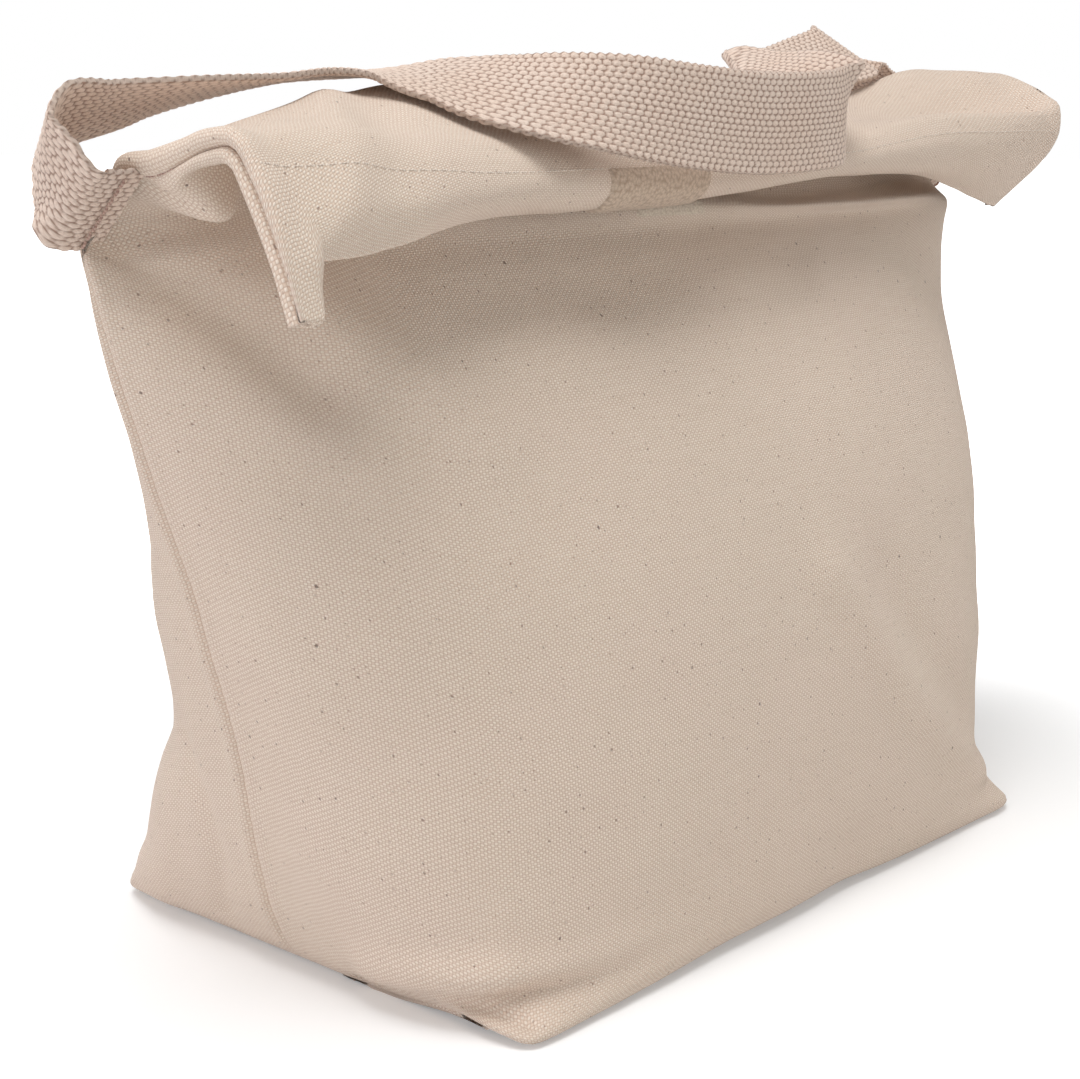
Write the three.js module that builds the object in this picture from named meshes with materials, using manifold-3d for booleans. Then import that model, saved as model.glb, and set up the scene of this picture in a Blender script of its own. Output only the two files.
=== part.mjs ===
// A canvas lunch bag with a boxed base. Its top is folded forward into a flap, the mouth band hangs
// in front and catches a small hook patch, and one webbing handle runs from side seam to side seam.
// Millimetres, +Z up, +X to the right, +Y to the back. The origin is the middle of the base.

import * as THREE from 'three';
import { mergeVertices } from 'three/addons/utils/BufferGeometryUtils.js';
import Module from 'manifold-3d';

const wasm = await Module();
wasm.setup();

// Base and walls
const baseWidth = 225;
const baseDepth = 152;
const topWidth = 347;
const bagHeight = 203;
const clothThickness = 1.2;
const clearance = 0.3;
const seamThickness = 2 * clothThickness + clearance;
const frontWallTopMiddle = bagHeight + 1.5;
const frontWallTopEnds = bagHeight - 4;
const backWallTopMiddle = bagHeight - 14;
const backWallTopEnds = bagHeight - 5;

// Sewn edges inside the bag
const seamEdgeWidth = 8;
const seamEdgeThickness = 1;
// The walls are straight between rows, so the sewn edges keep a clearance that grows with their flare.
const seamClearancePerFlare = 0.9 / 122;
const seamEdgeClearance = (topWidth - baseWidth) * seamClearancePerFlare;
const sideSeamFoot = 4;
const sideSeamTop = backWallTopEnds - 24;
const baseSeamWidth = 10;
const baseSeamThickness = 1.6;
const cornerSeamShortfall = 52;
const cornerSeamInset = 1;

// Flap and mouth band
const hemThickness = 2;
const mouthGapMiddle = 6.5;
const mouthGapEnds = 1.25;
const innerRoofStart = 0.34;
// The inner layer stops further short of the front rim where the two layers lie further apart.
const innerRoofReach = 0.87;
const innerRoofLossPerGap = 0.02;
const innerRoofEnd = innerRoofReach - innerRoofLossPerGap * mouthGapMiddle;
const flapSeamStart = 0.1;
const flapSeamEnd = 0.95;
const bandSeamStart = 0.05;
const innerBandStart = 0.3;
const innerBandEnd = 1.1;
const innerBandFoot = 0.62;
const bendThickness = 0.7;
const bendClearance = 0.85;
const flapSeamWidth = 1.4;
const flapSeamDepth = 4.6;
const hemStitchStart = 0.04;
const hemStitchEnd = 0.088;
const hemStitchEndGap = 4;
const hemStitchDepth = 0.5;

// Patches and handle
const hookPatchWidth = 28;
const hookPatchHeight = 16;
const hookPatchMiddleX = -5;
const hookPatchTopGap = 0.5;
const loopPatchWidth = 40;
const loopPatchMiddleX = -33;
const loopPatchStart = 0.14;
const loopPatchEnd = 0.94;
const patchThickness = 0.9;
const patchLift = 0.95;
const strapWidth = 25.4;
const strapThickness = 2.2;
const stitchBarDiameter = 1.4;
const stitchBarSides = 8;

// Shape of the level section of the walls, from the floor up: height, half width at the side seams,
// reach of the front and back walls from the seams, squareness of the corners, forward lean.
const halfBase = baseWidth / 2;
const halfDepth = baseDepth / 2;
const halfTop = topWidth / 2;
const wallSections = [
  { z: 0, half: halfBase, front: halfDepth, back: halfDepth, power: 9, lean: 0 },
  {
    z: bagHeight * 0.07, half: halfBase + 12,
    front: halfDepth + 2, back: halfDepth + 2, power: 4.7, lean: 0,
  },
  {
    z: bagHeight * 0.14, half: halfBase + 16,
    front: halfDepth + 3, back: halfDepth + 3, power: 3.6, lean: 0,
  },
  {
    z: bagHeight * 0.295, half: halfBase + 22,
    front: halfDepth + 2, back: halfDepth - 1, power: 2.9, lean: 0,
  },
  {
    z: bagHeight * 0.445, half: halfBase + 30,
    front: halfDepth - 3, back: halfDepth - 6, power: 2.5, lean: 0,
  },
  { z: bagHeight * 0.615, half: halfTop - 19, front: 62, back: 50, power: 2.1, lean: 0 },
  { z: bagHeight * 0.775, half: halfTop - 8.5, front: 47, back: 33, power: 2, lean: 0 },
  { z: bagHeight * 0.91, half: halfTop, front: 27, back: 14, power: 1.9, lean: 0 },
  { z: bagHeight, half: halfTop + 0.5, front: 13, back: 8, power: 1.8, lean: -6 },
  { z: bagHeight + 7, half: halfTop + 0.5, front: 9, back: 6, power: 1.8, lean: -7 },
];

// Outer face of the folded top, as profiles across the bag in (y, height above bagHeight). Each
// runs from behind the ridge, over the roof of the flap and down to the front rim. Their places
// across the bag are written for a flap that reaches profileReach to each side.
const endInset = 2;
const flapEnd = halfTop - endInset;
const profileReach = 171.5;
const profileStretch = flapEnd / profileReach;
const flapSteps = 30;
const innerReach = flapEnd * (1 - 2 / flapSteps);
const roofProfiles = [
  { x: -profileReach, path: [[-9.5, 0.5], [-20, 1], [-31, 4], [-40, 7], [-47, 7.5], [-51, 5]] },
  { x: -140, path: [[-5, 5.5], [-14, 9.5], [-27, 10.5], [-38, 10], [-47, 8], [-51, 4.5]] },
  { x: -100, path: [[-2, 11], [-12, 17.5], [-25, 14.5], [-38, 8.5], [-46, 5], [-50, 1.5]] },
  { x: -50, path: [[-1, 10.5], [-12, 16], [-25, 13], [-36, 8.5], [-43, 4.5], [-46.5, 1]] },
  { x: 0, path: [[-1, 9.5], [-12, 14.5], [-25, 12.5], [-36, 8], [-42, 4.5], [-45.5, 1]] },
  { x: 50, path: [[-1, 8.5], [-12, 13.5], [-25, 11.5], [-36, 8], [-42, 5], [-46, 2]] },
  { x: 100, path: [[-1, 10.5], [-12, 15.5], [-23, 13.5], [-33, 10], [-41, 8.5], [-46.5, 6]] },
  { x: 140, path: [[-4, 14], [-15, 23.5], [-25, 18], [-34, 11.5], [-43, 10], [-48, 7]] },
  { x: profileReach, path: [[-9.5, 1], [-20, 8], [-32, 15], [-43, 16.5], [-49, 13], [-50.5, 8.5]] },
];

// Outer face of the mouth band, from the front rim down to the mouth, written the same way.
const bandProfiles = [
  { x: -profileReach, path: [[-52.5, 3], [-56, -2], [-60, -10], [-64, -19], [-68.5, -27.5]] },
  { x: -140, path: [[-52.5, 2.5], [-55, -2], [-57.5, -7], [-58, -12], [-57, -17]] },
  { x: -100, path: [[-51.5, -0.5], [-53, -3.5], [-53.5, -6.5], [-52, -9.5], [-48, -12]] },
  { x: -50, path: [[-48, -1], [-49.5, -4], [-49, -7.5], [-45.5, -11], [-39, -12.5]] },
  { x: 0, path: [[-47, -1], [-48.5, -4], [-47.5, -7.5], [-43.5, -11], [-36, -12.2]] },
  { x: 50, path: [[-47.5, 0], [-49, -3.5], [-48, -8], [-43, -11.8], [-36, -12.5]] },
  { x: 100, path: [[-48, 4], [-49, -1], [-47.5, -7], [-43, -12], [-36, -13.5]] },
  { x: 140, path: [[-49, 5], [-49, -0.5], [-46.5, -7], [-41, -13], [-34, -16]] },
  { x: profileReach, path: [[-51, 6], [-49.5, 0.5], [-46, -6], [-39, -13], [-31, -19]] },
];

// Middle line of the handle, from the left side seam to the right one, with the direction across
// the webbing at each point. Heights are above bagHeight, and the places across the bag are written
// for a route that reaches strapRouteReach to each side, and for webbing of strapRouteWidth: wider
// webbing keeps the edge that rests on the flap. The middle hangs in front of the flap.
const strapStitchOut = 3;
const strapStitchPlace = [halfTop + strapStitchOut, -8, -8.5];
const strapRouteReach = 176.5;
const strapRouteWidth = 25.4;
const strapSlope = [0, 0.73, -0.68];
const strapRouteBeforeFold = [
  { at: [-strapRouteReach, strapStitchPlace[1], strapStitchPlace[2]], across: strapSlope },
  { at: [-181.5, -6.6, -7], across: [0, 0.73, -0.68] },
  { at: [-184.5, -4, -0.5], across: [0.18, 0.54, -0.82] },
  { at: [-184.5, 0.5, 6], across: [0.22, 0.52, -0.83] },
  { at: [-178, 4, 10.5], across: [0.05, 0.82, -0.57] },
  { at: [-168, 3, 12.8], across: [0, 0.95, -0.31] },
  { at: [-152, -1.5, 15], across: [0, 0.97, -0.23] },
  { at: [-127, -2.5, 18.5], across: [0, 0.985, -0.15] },
  { at: [-110, -4, 20.2], across: [0.03, 0.995, -0.08] },
  { at: [-97, -12, 20.4], across: [0.15, 0.985, 0.05] },
  { at: [-88, -26, 19.3], across: [0.3, 0.88, 0.35] },
  { at: [-80, -41, 16.5], across: [0.28, 0.72, 0.63] },
  { at: [-68, -52, 14.5], across: [0.18, 0.5, 0.85] },
  { at: [-52, -57.5, 12.5], across: [0.1, 0.25, 0.96] },
  { at: [-30, -60, 10], across: [-0.03, 0.1, 0.99] },
  { at: [-5, -61, 8.5], across: [0, 0, 1] },
  { at: [20, -60.5, 9], across: [0, 0, 1] },
  { at: [36, -58, 10], across: [0.12, 0.05, 0.99] },
  { at: [44.5, -53, 12.5], across: [0.3, 0.1, 0.95] },
  { at: [45.5, -46, 15.7], across: [0.5, 0.05, 0.86] },
  { at: [45, -38, 18.4], across: [0.68, 0.02, 0.73] },
  { at: [44.5, -28, 20.4], across: [0.88, 0, 0.47], skew: 0.5 },
];
const strapRouteAfterFold = [
  { at: [62, -10.5, 21.4], across: [-0.06, 0.93, 0.36], skew: 0.5 },
  { at: [74, -6, 22.2], across: [0, 0.92, 0.39] },
  { at: [87, -4.5, 23.4], across: [0, 0.89, 0.45] },
  { at: [102, -4, 25.8], across: [0, 0.83, 0.56] },
  { at: [115, -3.6, 28.2], across: [0, 0.8, 0.6] },
  { at: [120.5, -0.4, 29.3], across: [0, 0.88, 0.47] },
  { at: [124.5, 2.5, 27.6], across: [0, 1, 0.04] },
  { at: [129.5, 4, 23.4], across: [0, 0.95, -0.31] },
  { at: [136, 4.5, 19], across: [0, 0.93, -0.37] },
  { at: [144, 4, 16.2], across: [0, 0.93, -0.37] },
  { at: [156, 3.5, 14.4], across: [0, 0.93, -0.37] },
  { at: [168, 3, 12.8], across: [0, 0.95, -0.31] },
  { at: [178, 4, 10.5], across: [-0.05, 0.82, -0.57] },
  { at: [184.5, 0.5, 6], across: [-0.22, 0.52, -0.83] },
  { at: [184.5, -4, -0.5], across: [-0.18, 0.54, -0.82] },
  { at: [181.5, -6.6, -7], across: [0, 0.73, -0.68] },
  { at: [strapRouteReach, strapStitchPlace[1], strapStitchPlace[2]], across: strapSlope },
];
// Between the two the webbing is folded over on a diagonal line, so that it turns to the right with its
// other face up. The skew is how far a line of the fold runs along the webbing for each mm across it.
const strapFold = { at: [45, -18, 21.6], along: [0, 1, 0.1], across: [0.92, -0.04, 0.39] };
const strapFoldSkew = 1.2;
const strapFoldAngle = 150 * Math.PI / 180;
const strapFoldRadius = 1.8;
const strapFoldSteps = 3;
const strapStepsPerStretch = 2;

// Fineness of the curved faces
const wallSteps = 30;
const wallRows = 13;
const roofRows = 6;
const bandRows = 5;

// Finishes
const canvas = { color: 0xcdb6a6, roughness: 0.95, metalness: 0 };
const webbing = { color: 0xcbb3a2, roughness: 0.95, metalness: 0 };
const thread = { color: 0xe0cdbd, roughness: 0.8, metalness: 0 };
const patch = { color: 0xe3d3bd, roughness: 0.9, metalness: 0 };

const bag = new THREE.Group();

function addMesh(name, geometry, finish) {
  const mesh = new THREE.Mesh(geometry, new THREE.MeshStandardMaterial(finish));
  mesh.name = name;
  bag.add(mesh);
  return mesh;
}

function geometryOf(positions, indices) {
  const geometry = new THREE.BufferGeometry();
  geometry.setAttribute('position', new THREE.Float32BufferAttribute(positions, 3));
  geometry.setIndex(indices);
  return geometry;
}

function enclosedVolume(positions, indices) {
  let volume = 0;
  const corner = [new THREE.Vector3(), new THREE.Vector3(), new THREE.Vector3()];
  for (let i = 0; i < indices.length; i += 3) {
    corner.forEach((point, k) => point.fromArray(positions, 3 * indices[i + k]));
    volume += corner[0].dot(corner[1].cross(corner[2])) / 6;
  }
  return volume;
}

// A closed body from a grid of sections: every section is a ring of points, capped at both ends.
function bodyFromRings(rings) {
  const positions = [];
  const indices = [];
  const count = rings[0].length;
  rings.forEach((ring) => ring.forEach((point) => positions.push(...point)));
  for (let r = 0; r < rings.length - 1; r++) {
    for (let k = 0; k < count; k++) {
      const a = r * count + k;
      const b = r * count + ((k + 1) % count);
      indices.push(a, b, b + count, a, b + count, a + count);
    }
  }
  const last = (rings.length - 1) * count;
  for (let k = 1; k < count / 2; k++) {
    const a = k - 1;
    const b = k;
    const c = count - 1 - k;
    const d = count - k;
    indices.push(a, d, c, a, c, b);
    indices.push(last + a, last + b, last + c, last + a, last + c, last + d);
  }
  if (enclosedVolume(positions, indices) < 0) {
    indices.reverse();
  }
  return geometryOf(positions, indices);
}

// A thin closed sheet between two grids of points, grid[row][column].
function bodyFromSheets(outer, inner) {
  const rings = outer.map((row, r) => [...row, ...[...inner[r]].reverse()]);
  return bodyFromRings(rings);
}

function toSolid(geometry) {
  const merged = mergeVertices(geometry, 1e-3);
  return new wasm.Manifold(new wasm.Mesh({
    numProp: 3,
    vertProperties: new Float32Array(merged.attributes.position.array),
    triVerts: new Uint32Array(merged.index.array),
  }));
}

function toGeometry(solid) {
  const mesh = solid.getMesh();
  return geometryOf(Array.from(mesh.vertProperties), Array.from(mesh.triVerts));
}

// A smooth value between rows of a table, by the monotone key given.
function between(rows, key, place, read) {
  let i = 0;
  while (i < rows.length - 2 && rows[i + 1][key] < place) {
    i += 1;
  }
  const t = THREE.MathUtils.clamp((place - rows[i][key]) / (rows[i + 1][key] - rows[i][key]), 0, 1);
  const here = read(rows[i]);
  const next = read(rows[i + 1]);
  const before = i > 0 ? read(rows[i - 1]) : here;
  const after = i < rows.length - 2 ? read(rows[i + 2]) : next;
  const width = rows[i + 1][key] - rows[i][key];
  const widthBefore = i > 0 ? rows[i + 1][key] - rows[i - 1][key] : width;
  const widthAfter = i < rows.length - 2 ? rows[i + 2][key] - rows[i][key] : width;
  const slopeHere = (next - before) * width / widthBefore;
  const slopeNext = (after - here) * width / widthAfter;
  const t2 = t * t;
  const t3 = t2 * t;
  return (2 * t3 - 3 * t2 + 1) * here + (t3 - 2 * t2 + t) * slopeHere
    + (3 * t2 - 2 * t3) * next + (t3 - t2) * slopeNext;
}

// A point on a wall: side is -1 for the front and 1 for the back, turn runs from 0 at the left
// seam to 1 at the right seam, and inset moves it in from the outer face.
function wallPoint(side, turn, z, inset) {
  const half = between(wallSections, 'z', z, (s) => s.half) - inset;
  const reach = between(wallSections, 'z', z, (s) => (side < 0 ? s.front : s.back)) - inset;
  const power = between(wallSections, 'z', z, (s) => s.power);
  const lean = between(wallSections, 'z', z, (s) => s.lean);
  const angle = Math.PI * (1 - turn);
  const across = Math.cos(angle);
  const out = Math.sin(angle);
  const x = half * Math.sign(across) * Math.abs(across) ** (2 / power);
  const bulge = Math.max(reach, 0) * Math.abs(out) ** (2 / power);
  const y = lean + side * (seamThickness / 2 - inset + bulge);
  return [x, y, z];
}

function wallTop(turn, middle, ends) {
  const fromMiddle = Math.abs(2 * turn - 1);
  return middle + (ends - middle) * fromMiddle ** 3;
}

// The wall and its half of the base are one piece of cloth.
function panel(side, topMiddle, topEnds) {
  const grid = (inset) => {
    const rows = [];
    for (let r = 0; r <= wallRows; r++) {
      const row = [];
      for (let k = 0; k <= wallSteps; k++) {
        const turn = k / wallSteps;
        row.push(wallPoint(side, turn, wallTop(turn, topMiddle, topEnds) * (r / wallRows), inset));
      }
      rows.push(row);
    }
    return rows;
  };
  const wall = bodyFromSheets(grid(0), grid(clothThickness));
  const outline = [];
  for (let k = 0; k <= wallSteps; k++) {
    outline.push(new THREE.Vector2(...wallPoint(side, k / wallSteps, 0, 0).slice(0, 2)));
  }
  outline.push(new THREE.Vector2(halfBase - clothThickness, side * clearance / 2));
  outline.push(new THREE.Vector2(-halfBase + clothThickness, side * clearance / 2));
  const floor = new THREE.ExtrudeGeometry(new THREE.Shape(outline), {
    depth: clothThickness,
    bevelEnabled: false,
  });
  floor.deleteAttribute('normal');
  floor.deleteAttribute('uv');
  return toGeometry(toSolid(wall).add(toSolid(floor)));
}

// The turned and sewn edges of the two panels, standing in from the side seam.
function sideSeamEdges(hand) {
  const rings = [];
  for (let r = 0; r <= wallRows; r++) {
    const z = sideSeamFoot + (sideSeamTop - sideSeamFoot) * (r / wallRows);
    const half = between(wallSections, 'z', z, (s) => s.half);
    const lean = between(wallSections, 'z', z, (s) => s.lean);
    const outer = half - clothThickness - seamEdgeClearance;
    const inner = outer - seamEdgeWidth;
    const thick = seamEdgeThickness / 2;
    rings.push([
      [hand * outer, lean - thick, z],
      [hand * outer, lean + thick, z],
      [hand * inner, lean + thick, z],
      [hand * inner, lean - thick, z],
    ]);
  }
  return bodyFromRings(rings);
}

// A flat strip of sewn edges lying on the inside of the base.
function baseStrip(width, length) {
  const strip = new THREE.BoxGeometry(width, length, baseSeamThickness);
  strip.deleteAttribute('normal');
  strip.deleteAttribute('uv');
  strip.translate(0, 0, clothThickness + clearance + baseSeamThickness / 2);
  return mergeVertices(strip, 1e-3);
}

// A point on the folded top, with down running from 0 to 1 along the profiles.
function foldPoint(profiles, x, down) {
  const station = x / profileStretch;
  const last = profiles[0].path.length - 1;
  const place = down * last;
  const step = Math.min(Math.floor(place), last - 1);
  const path = profiles[0].path.map((_, i) => [0, 1].map(
    (axis) => between(profiles, 'x', station, (p) => p.path[i][axis])));
  const rows = path.map((point, i) => ({ i, y: point[0], z: point[1] }));
  const y = between(rows, 'i', step + (place - step), (row) => row.y);
  const z = between(rows, 'i', step + (place - step), (row) => row.z);
  return new THREE.Vector3(x, y, bagHeight + z);
}

// Into the fold, square to the outer face.
function foldInward(profiles, x, down) {
  const step = 0.02;
  const from = foldPoint(profiles, x, Math.max(down - step, 0));
  const to = foldPoint(profiles, x, Math.min(down + step, 1));
  const along = to.sub(from);
  return new THREE.Vector3(0, -along.z, along.y).normalize();
}

function foldSheet(profiles, rows, start, finish, depthAt, thickness, stepsLeftOut) {
  const grid = (extra) => {
    const points = [];
    for (let r = 0; r <= rows; r++) {
      const row = [];
      for (let k = stepsLeftOut; k <= flapSteps - stepsLeftOut; k++) {
        const x = flapEnd * (2 * k / flapSteps - 1);
        const down = start + (finish - start) * (r / rows);
        const inward = foldInward(profiles, x, down);
        const point = foldPoint(profiles, x, down).addScaledVector(inward, depthAt(x) + extra);
        row.push(point.toArray());
      }
      points.push(row);
    }
    return points;
  };
  return bodyFromSheets(grid(0), grid(thickness));
}

// Where the wall passes a place across the bag.
function wallAt(side, x, z) {
  const half = between(wallSections, 'z', z, (section) => section.half);
  const power = between(wallSections, 'z', z, (section) => section.power);
  const share = Math.min(Math.abs(x / half), 1);
  const angle = Math.acos(Math.sign(x) * share ** (power / 2));
  const point = wallPoint(side, 1 - angle / Math.PI, z, 0);
  return new THREE.Vector3(x, point[1], point[2]);
}

// The top edge of a wall at a place across the bag.
function wallEdge(side, x, middle, ends) {
  let turn = (x / halfTop + 1) / 2;
  for (let i = 0; i < 4; i++) {
    const z = wallTop(turn, middle, ends);
    const half = between(wallSections, 'z', z, (section) => section.half);
    const power = between(wallSections, 'z', z, (section) => section.power);
    turn = 1 - Math.acos(Math.sign(x) * Math.min(Math.abs(x / half), 1) ** (power / 2)) / Math.PI;
  }
  return wallAt(side, x, wallTop(turn, middle, ends));
}

// A strip of cloth that bends where the folded top leaves the walls, or at the front rim. It runs
// from one edge to the other, clear of both.
function bendStrip(fromEdge, toEdge, stepsLeftOut, thicknessSide) {
  const outer = [];
  const inner = [];
  for (let r = 0; r <= 2; r++) {
    outer.push([]);
    inner.push([]);
  }
  for (let k = stepsLeftOut; k <= flapSteps - stepsLeftOut; k++) {
    const x = flapEnd * (2 * k / flapSteps - 1);
    const from = fromEdge(x);
    const to = toEdge(x);
    const along = to.clone().sub(from).normalize();
    const depth = new THREE.Vector3(0, -along.z, along.y).multiplyScalar(thicknessSide);
    from.addScaledVector(along, bendClearance);
    to.addScaledVector(along, -bendClearance);
    for (let r = 0; r <= 2; r++) {
      const point = from.clone().lerp(to, r / 2);
      outer[r].push(point.toArray());
      inner[r].push(point.clone().addScaledVector(depth, bendThickness).toArray());
    }
  }
  return bodyFromSheets(outer, inner);
}

// How far the inner sheet lies inside the outer face: close at the side seams, apart in the middle.
function innerDepth(outerThickness) {
  return (x) => {
    const fromEnd = 1 - Math.min(Math.abs(x) / innerReach, 1) ** 3;
    return outerThickness + mouthGapEnds + (mouthGapMiddle - mouthGapEnds) * fromEnd;
  };
}

// The inner layer of the band lies straight, along the line that the outer layer bulges from.
function innerBand() {
  const depthAt = innerDepth(hemThickness);
  const grid = (extra) => [innerBandStart, innerBandEnd].map((share) => {
    const row = [];
    for (let k = 1; k < flapSteps; k++) {
      const x = flapEnd * (2 * k / flapSteps - 1);
      const top = foldPoint(bandProfiles, x, 0);
      const along = foldPoint(bandProfiles, x, innerBandFoot).sub(top);
      const inward = new THREE.Vector3(0, -along.z, along.y).normalize();
      row.push(top.addScaledVector(along, share).addScaledVector(inward, depthAt(x) + extra).toArray());
    }
    return row;
  });
  return bodyFromSheets(grid(0), grid(hemThickness));
}

// The sewn edge that closes the flap or the band at one end.
function foldSeam(profiles, hand, rows, start, finish) {
  const rings = [];
  const near = hand * (flapEnd + clearance);
  const far = hand * (flapEnd + clearance + flapSeamWidth);
  for (let r = 0; r <= rows; r++) {
    const down = start + (finish - start) * (r / rows);
    const inward = foldInward(profiles, hand * flapEnd, down);
    const top = foldPoint(profiles, hand * flapEnd, down);
    const low = top.clone().addScaledVector(inward, flapSeamDepth);
    rings.push([
      [near, top.y, top.z],
      [far, top.y, top.z],
      [far, low.y, low.z],
      [near, low.y, low.z],
    ]);
  }
  return bodyFromRings(rings);
}

// A raised line or patch on the outer face of the band, between two places on its profiles.
function onBand(left, right, start, finish, height, steps, rows) {
  const grid = (lift) => {
    const points = [];
    for (let r = 0; r <= rows; r++) {
      const row = [];
      for (let k = 0; k <= steps; k++) {
        const x = left + (right - left) * (k / steps);
        const down = start + (finish - start) * (r / rows);
        const inward = foldInward(bandProfiles, x, down);
        row.push(foldPoint(bandProfiles, x, down).addScaledVector(inward, -lift).toArray());
      }
      points.push(row);
    }
    return points;
  };
  return bodyFromSheets(grid(clearance + height), grid(clearance));
}

// A patch on the outer face of the front wall.
function onFrontWall(middleX, width, low, high, height) {
  const steps = 6;
  const point = (x, z, lift) => {
    const place = wallAt(-1, x, z);
    return [x, place.y - lift, z - lift / 2];
  };
  const grid = (lift) => {
    const points = [];
    for (let r = 0; r <= 2; r++) {
      const row = [];
      for (let k = 0; k <= steps; k++) {
        row.push(point(middleX + width * (k / steps - 0.5), low + (high - low) * (r / 2), lift));
      }
      points.push(row);
    }
    return points;
  };
  return bodyFromSheets(grid(patchLift + height), grid(patchLift));
}

// Middle line of the webbing round its diagonal fold, as stops of the route.
function strapFoldStops() {
  const along = new THREE.Vector3(...strapFold.along).normalize();
  const across = new THREE.Vector3(...strapFold.across);
  across.addScaledVector(along, -across.dot(along)).normalize();
  const axis = across.clone().addScaledVector(along, strapFoldSkew).normalize();
  const forward = along.clone().addScaledVector(axis, -along.dot(axis)).normalize();
  const up = axis.clone().cross(forward);
  const stops = [];
  for (let i = 0; i <= strapFoldSteps; i++) {
    const turned = strapFoldAngle * i / strapFoldSteps;
    const place = new THREE.Vector3(...strapFold.at)
      .addScaledVector(forward, strapFoldRadius * Math.sin(turned))
      .addScaledVector(up, -strapFoldRadius * (1 - Math.cos(turned)))
      .addScaledVector(axis, strapFoldSkew * strapFoldRadius * turned);
    stops.push({ at: place.toArray(), across: axis.toArray(), skew: 1 });
  }
  return stops;
}

// Smooth middle line of the handle, with the across direction carried along it.
const strapRoute = [...strapRouteBeforeFold, ...strapFoldStops(), ...strapRouteAfterFold];
const strapStretch = strapStitchPlace[0] / strapRouteReach;
const strapWidthShift = (strapWidth - strapRouteWidth) / 2;
const strapLine = new THREE.CatmullRomCurve3(strapRoute.map((stop) => new THREE.Vector3(
  stop.at[0] * strapStretch, stop.at[1], bagHeight + stop.at[2])), false, 'centripetal');

function strapSection(place) {
  const last = strapRoute.length - 1;
  const step = Math.min(Math.floor(place), last - 1);
  const share = place - step;
  const centre = strapLine.getPoint(place / last);
  const along = strapLine.getTangent(place / last);
  const across = new THREE.Vector3(...strapRoute[step].across)
    .lerp(new THREE.Vector3(...strapRoute[step + 1].across), share);
  across.addScaledVector(along, -across.dot(along)).normalize();
  const out = along.clone().cross(across);
  const skews = [strapRoute[step].skew ?? 0, strapRoute[step + 1].skew ?? 0];
  across.addScaledVector(along, strapFoldSkew * THREE.MathUtils.lerp(...skews, share));
  centre.addScaledVector(across, strapWidthShift);
  return [[1, 1], [1, -1], [-1, -1], [-1, 1]].map(([a, b]) => centre.clone()
    .addScaledVector(across, a * strapWidth / 2)
    .addScaledVector(out, b * strapThickness / 2)
    .toArray());
}

function strap() {
  const rings = [];
  const steps = (strapRoute.length - 1) * strapStepsPerStretch;
  for (let i = 0; i <= steps; i++) {
    rings.push(strapSection(i / strapStepsPerStretch));
  }
  return bodyFromRings(rings);
}

// Stitching that holds an end of the handle against the side seam.
function handleStitching(hand) {
  const radius = stitchBarDiameter / 2;
  const bar = new THREE.CylinderGeometry(radius, radius, strapWidth, stitchBarSides);
  const slope = new THREE.Vector3(...strapSlope).normalize();
  bar.applyQuaternion(new THREE.Quaternion().setFromUnitVectors(new THREE.Vector3(0, 1, 0), slope));
  const x = strapStitchPlace[0] - 2 * clearance - radius;
  const place = new THREE.Vector3(hand * x, strapStitchPlace[1], bagHeight + strapStitchPlace[2]);
  place.addScaledVector(slope, strapWidthShift);
  bar.translate(place.x, place.y, place.z);
  bar.deleteAttribute('normal');
  bar.deleteAttribute('uv');
  return mergeVertices(bar, 1e-3);
}

addMesh('front_panel', panel(-1, frontWallTopMiddle, frontWallTopEnds), canvas);
addMesh('back_panel', panel(1, backWallTopMiddle, backWallTopEnds), canvas);
addMesh('left_side_seam', sideSeamEdges(-1), canvas);
addMesh('right_side_seam', sideSeamEdges(1), canvas);

const cornerSeamLength = baseDepth - cornerSeamShortfall;
const cornerSeamX = halfBase - clothThickness - baseSeamWidth / 2 - cornerSeamInset;
const bottomSeamLength = 2 * (cornerSeamX - baseSeamWidth / 2 - clearance);
addMesh('bottom_seam', baseStrip(bottomSeamLength, baseSeamWidth), canvas);
const leftCorner = addMesh('left_corner_seam', baseStrip(baseSeamWidth, cornerSeamLength), canvas);
leftCorner.position.x = -cornerSeamX;
const rightCorner = addMesh('right_corner_seam', baseStrip(baseSeamWidth, cornerSeamLength), canvas);
rightCorner.position.x = cornerSeamX;

addMesh('flap_outer', foldSheet(
  roofProfiles, roofRows, 0, 1, () => 0, clothThickness, 0), canvas);
addMesh('flap_inner', foldSheet(
  roofProfiles, roofRows, innerRoofStart, innerRoofEnd, innerDepth(clothThickness),
  clothThickness, 1), canvas);
addMesh('flap_left_seam', foldSeam(roofProfiles, -1, roofRows, flapSeamStart, flapSeamEnd), canvas);
addMesh('flap_right_seam', foldSeam(roofProfiles, 1, roofRows, flapSeamStart, flapSeamEnd), canvas);
const backTop = (x) => wallEdge(1, x, backWallTopMiddle, backWallTopEnds);
const frontTop = (x) => wallEdge(-1, x, frontWallTopMiddle, frontWallTopEnds);
const innerRoofEdge = (x) => foldPoint(roofProfiles, x, innerRoofStart).addScaledVector(
  foldInward(roofProfiles, x, innerRoofStart), innerDepth(clothThickness)(x) + clothThickness);
addMesh('back_fold', bendStrip(
  backTop, (x) => foldPoint(roofProfiles, x, 0), 1, 1), canvas);
addMesh('front_fold', bendStrip(frontTop, innerRoofEdge, 2, -1), canvas);
addMesh('front_rim', bendStrip(
  (x) => foldPoint(roofProfiles, x, 1), (x) => foldPoint(bandProfiles, x, 0), 0, 1), canvas);
addMesh('mouth_band_outer', foldSheet(
  bandProfiles, bandRows, 0, 1, () => 0, hemThickness, 0), canvas);
addMesh('mouth_band_inner', innerBand(), canvas);
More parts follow.
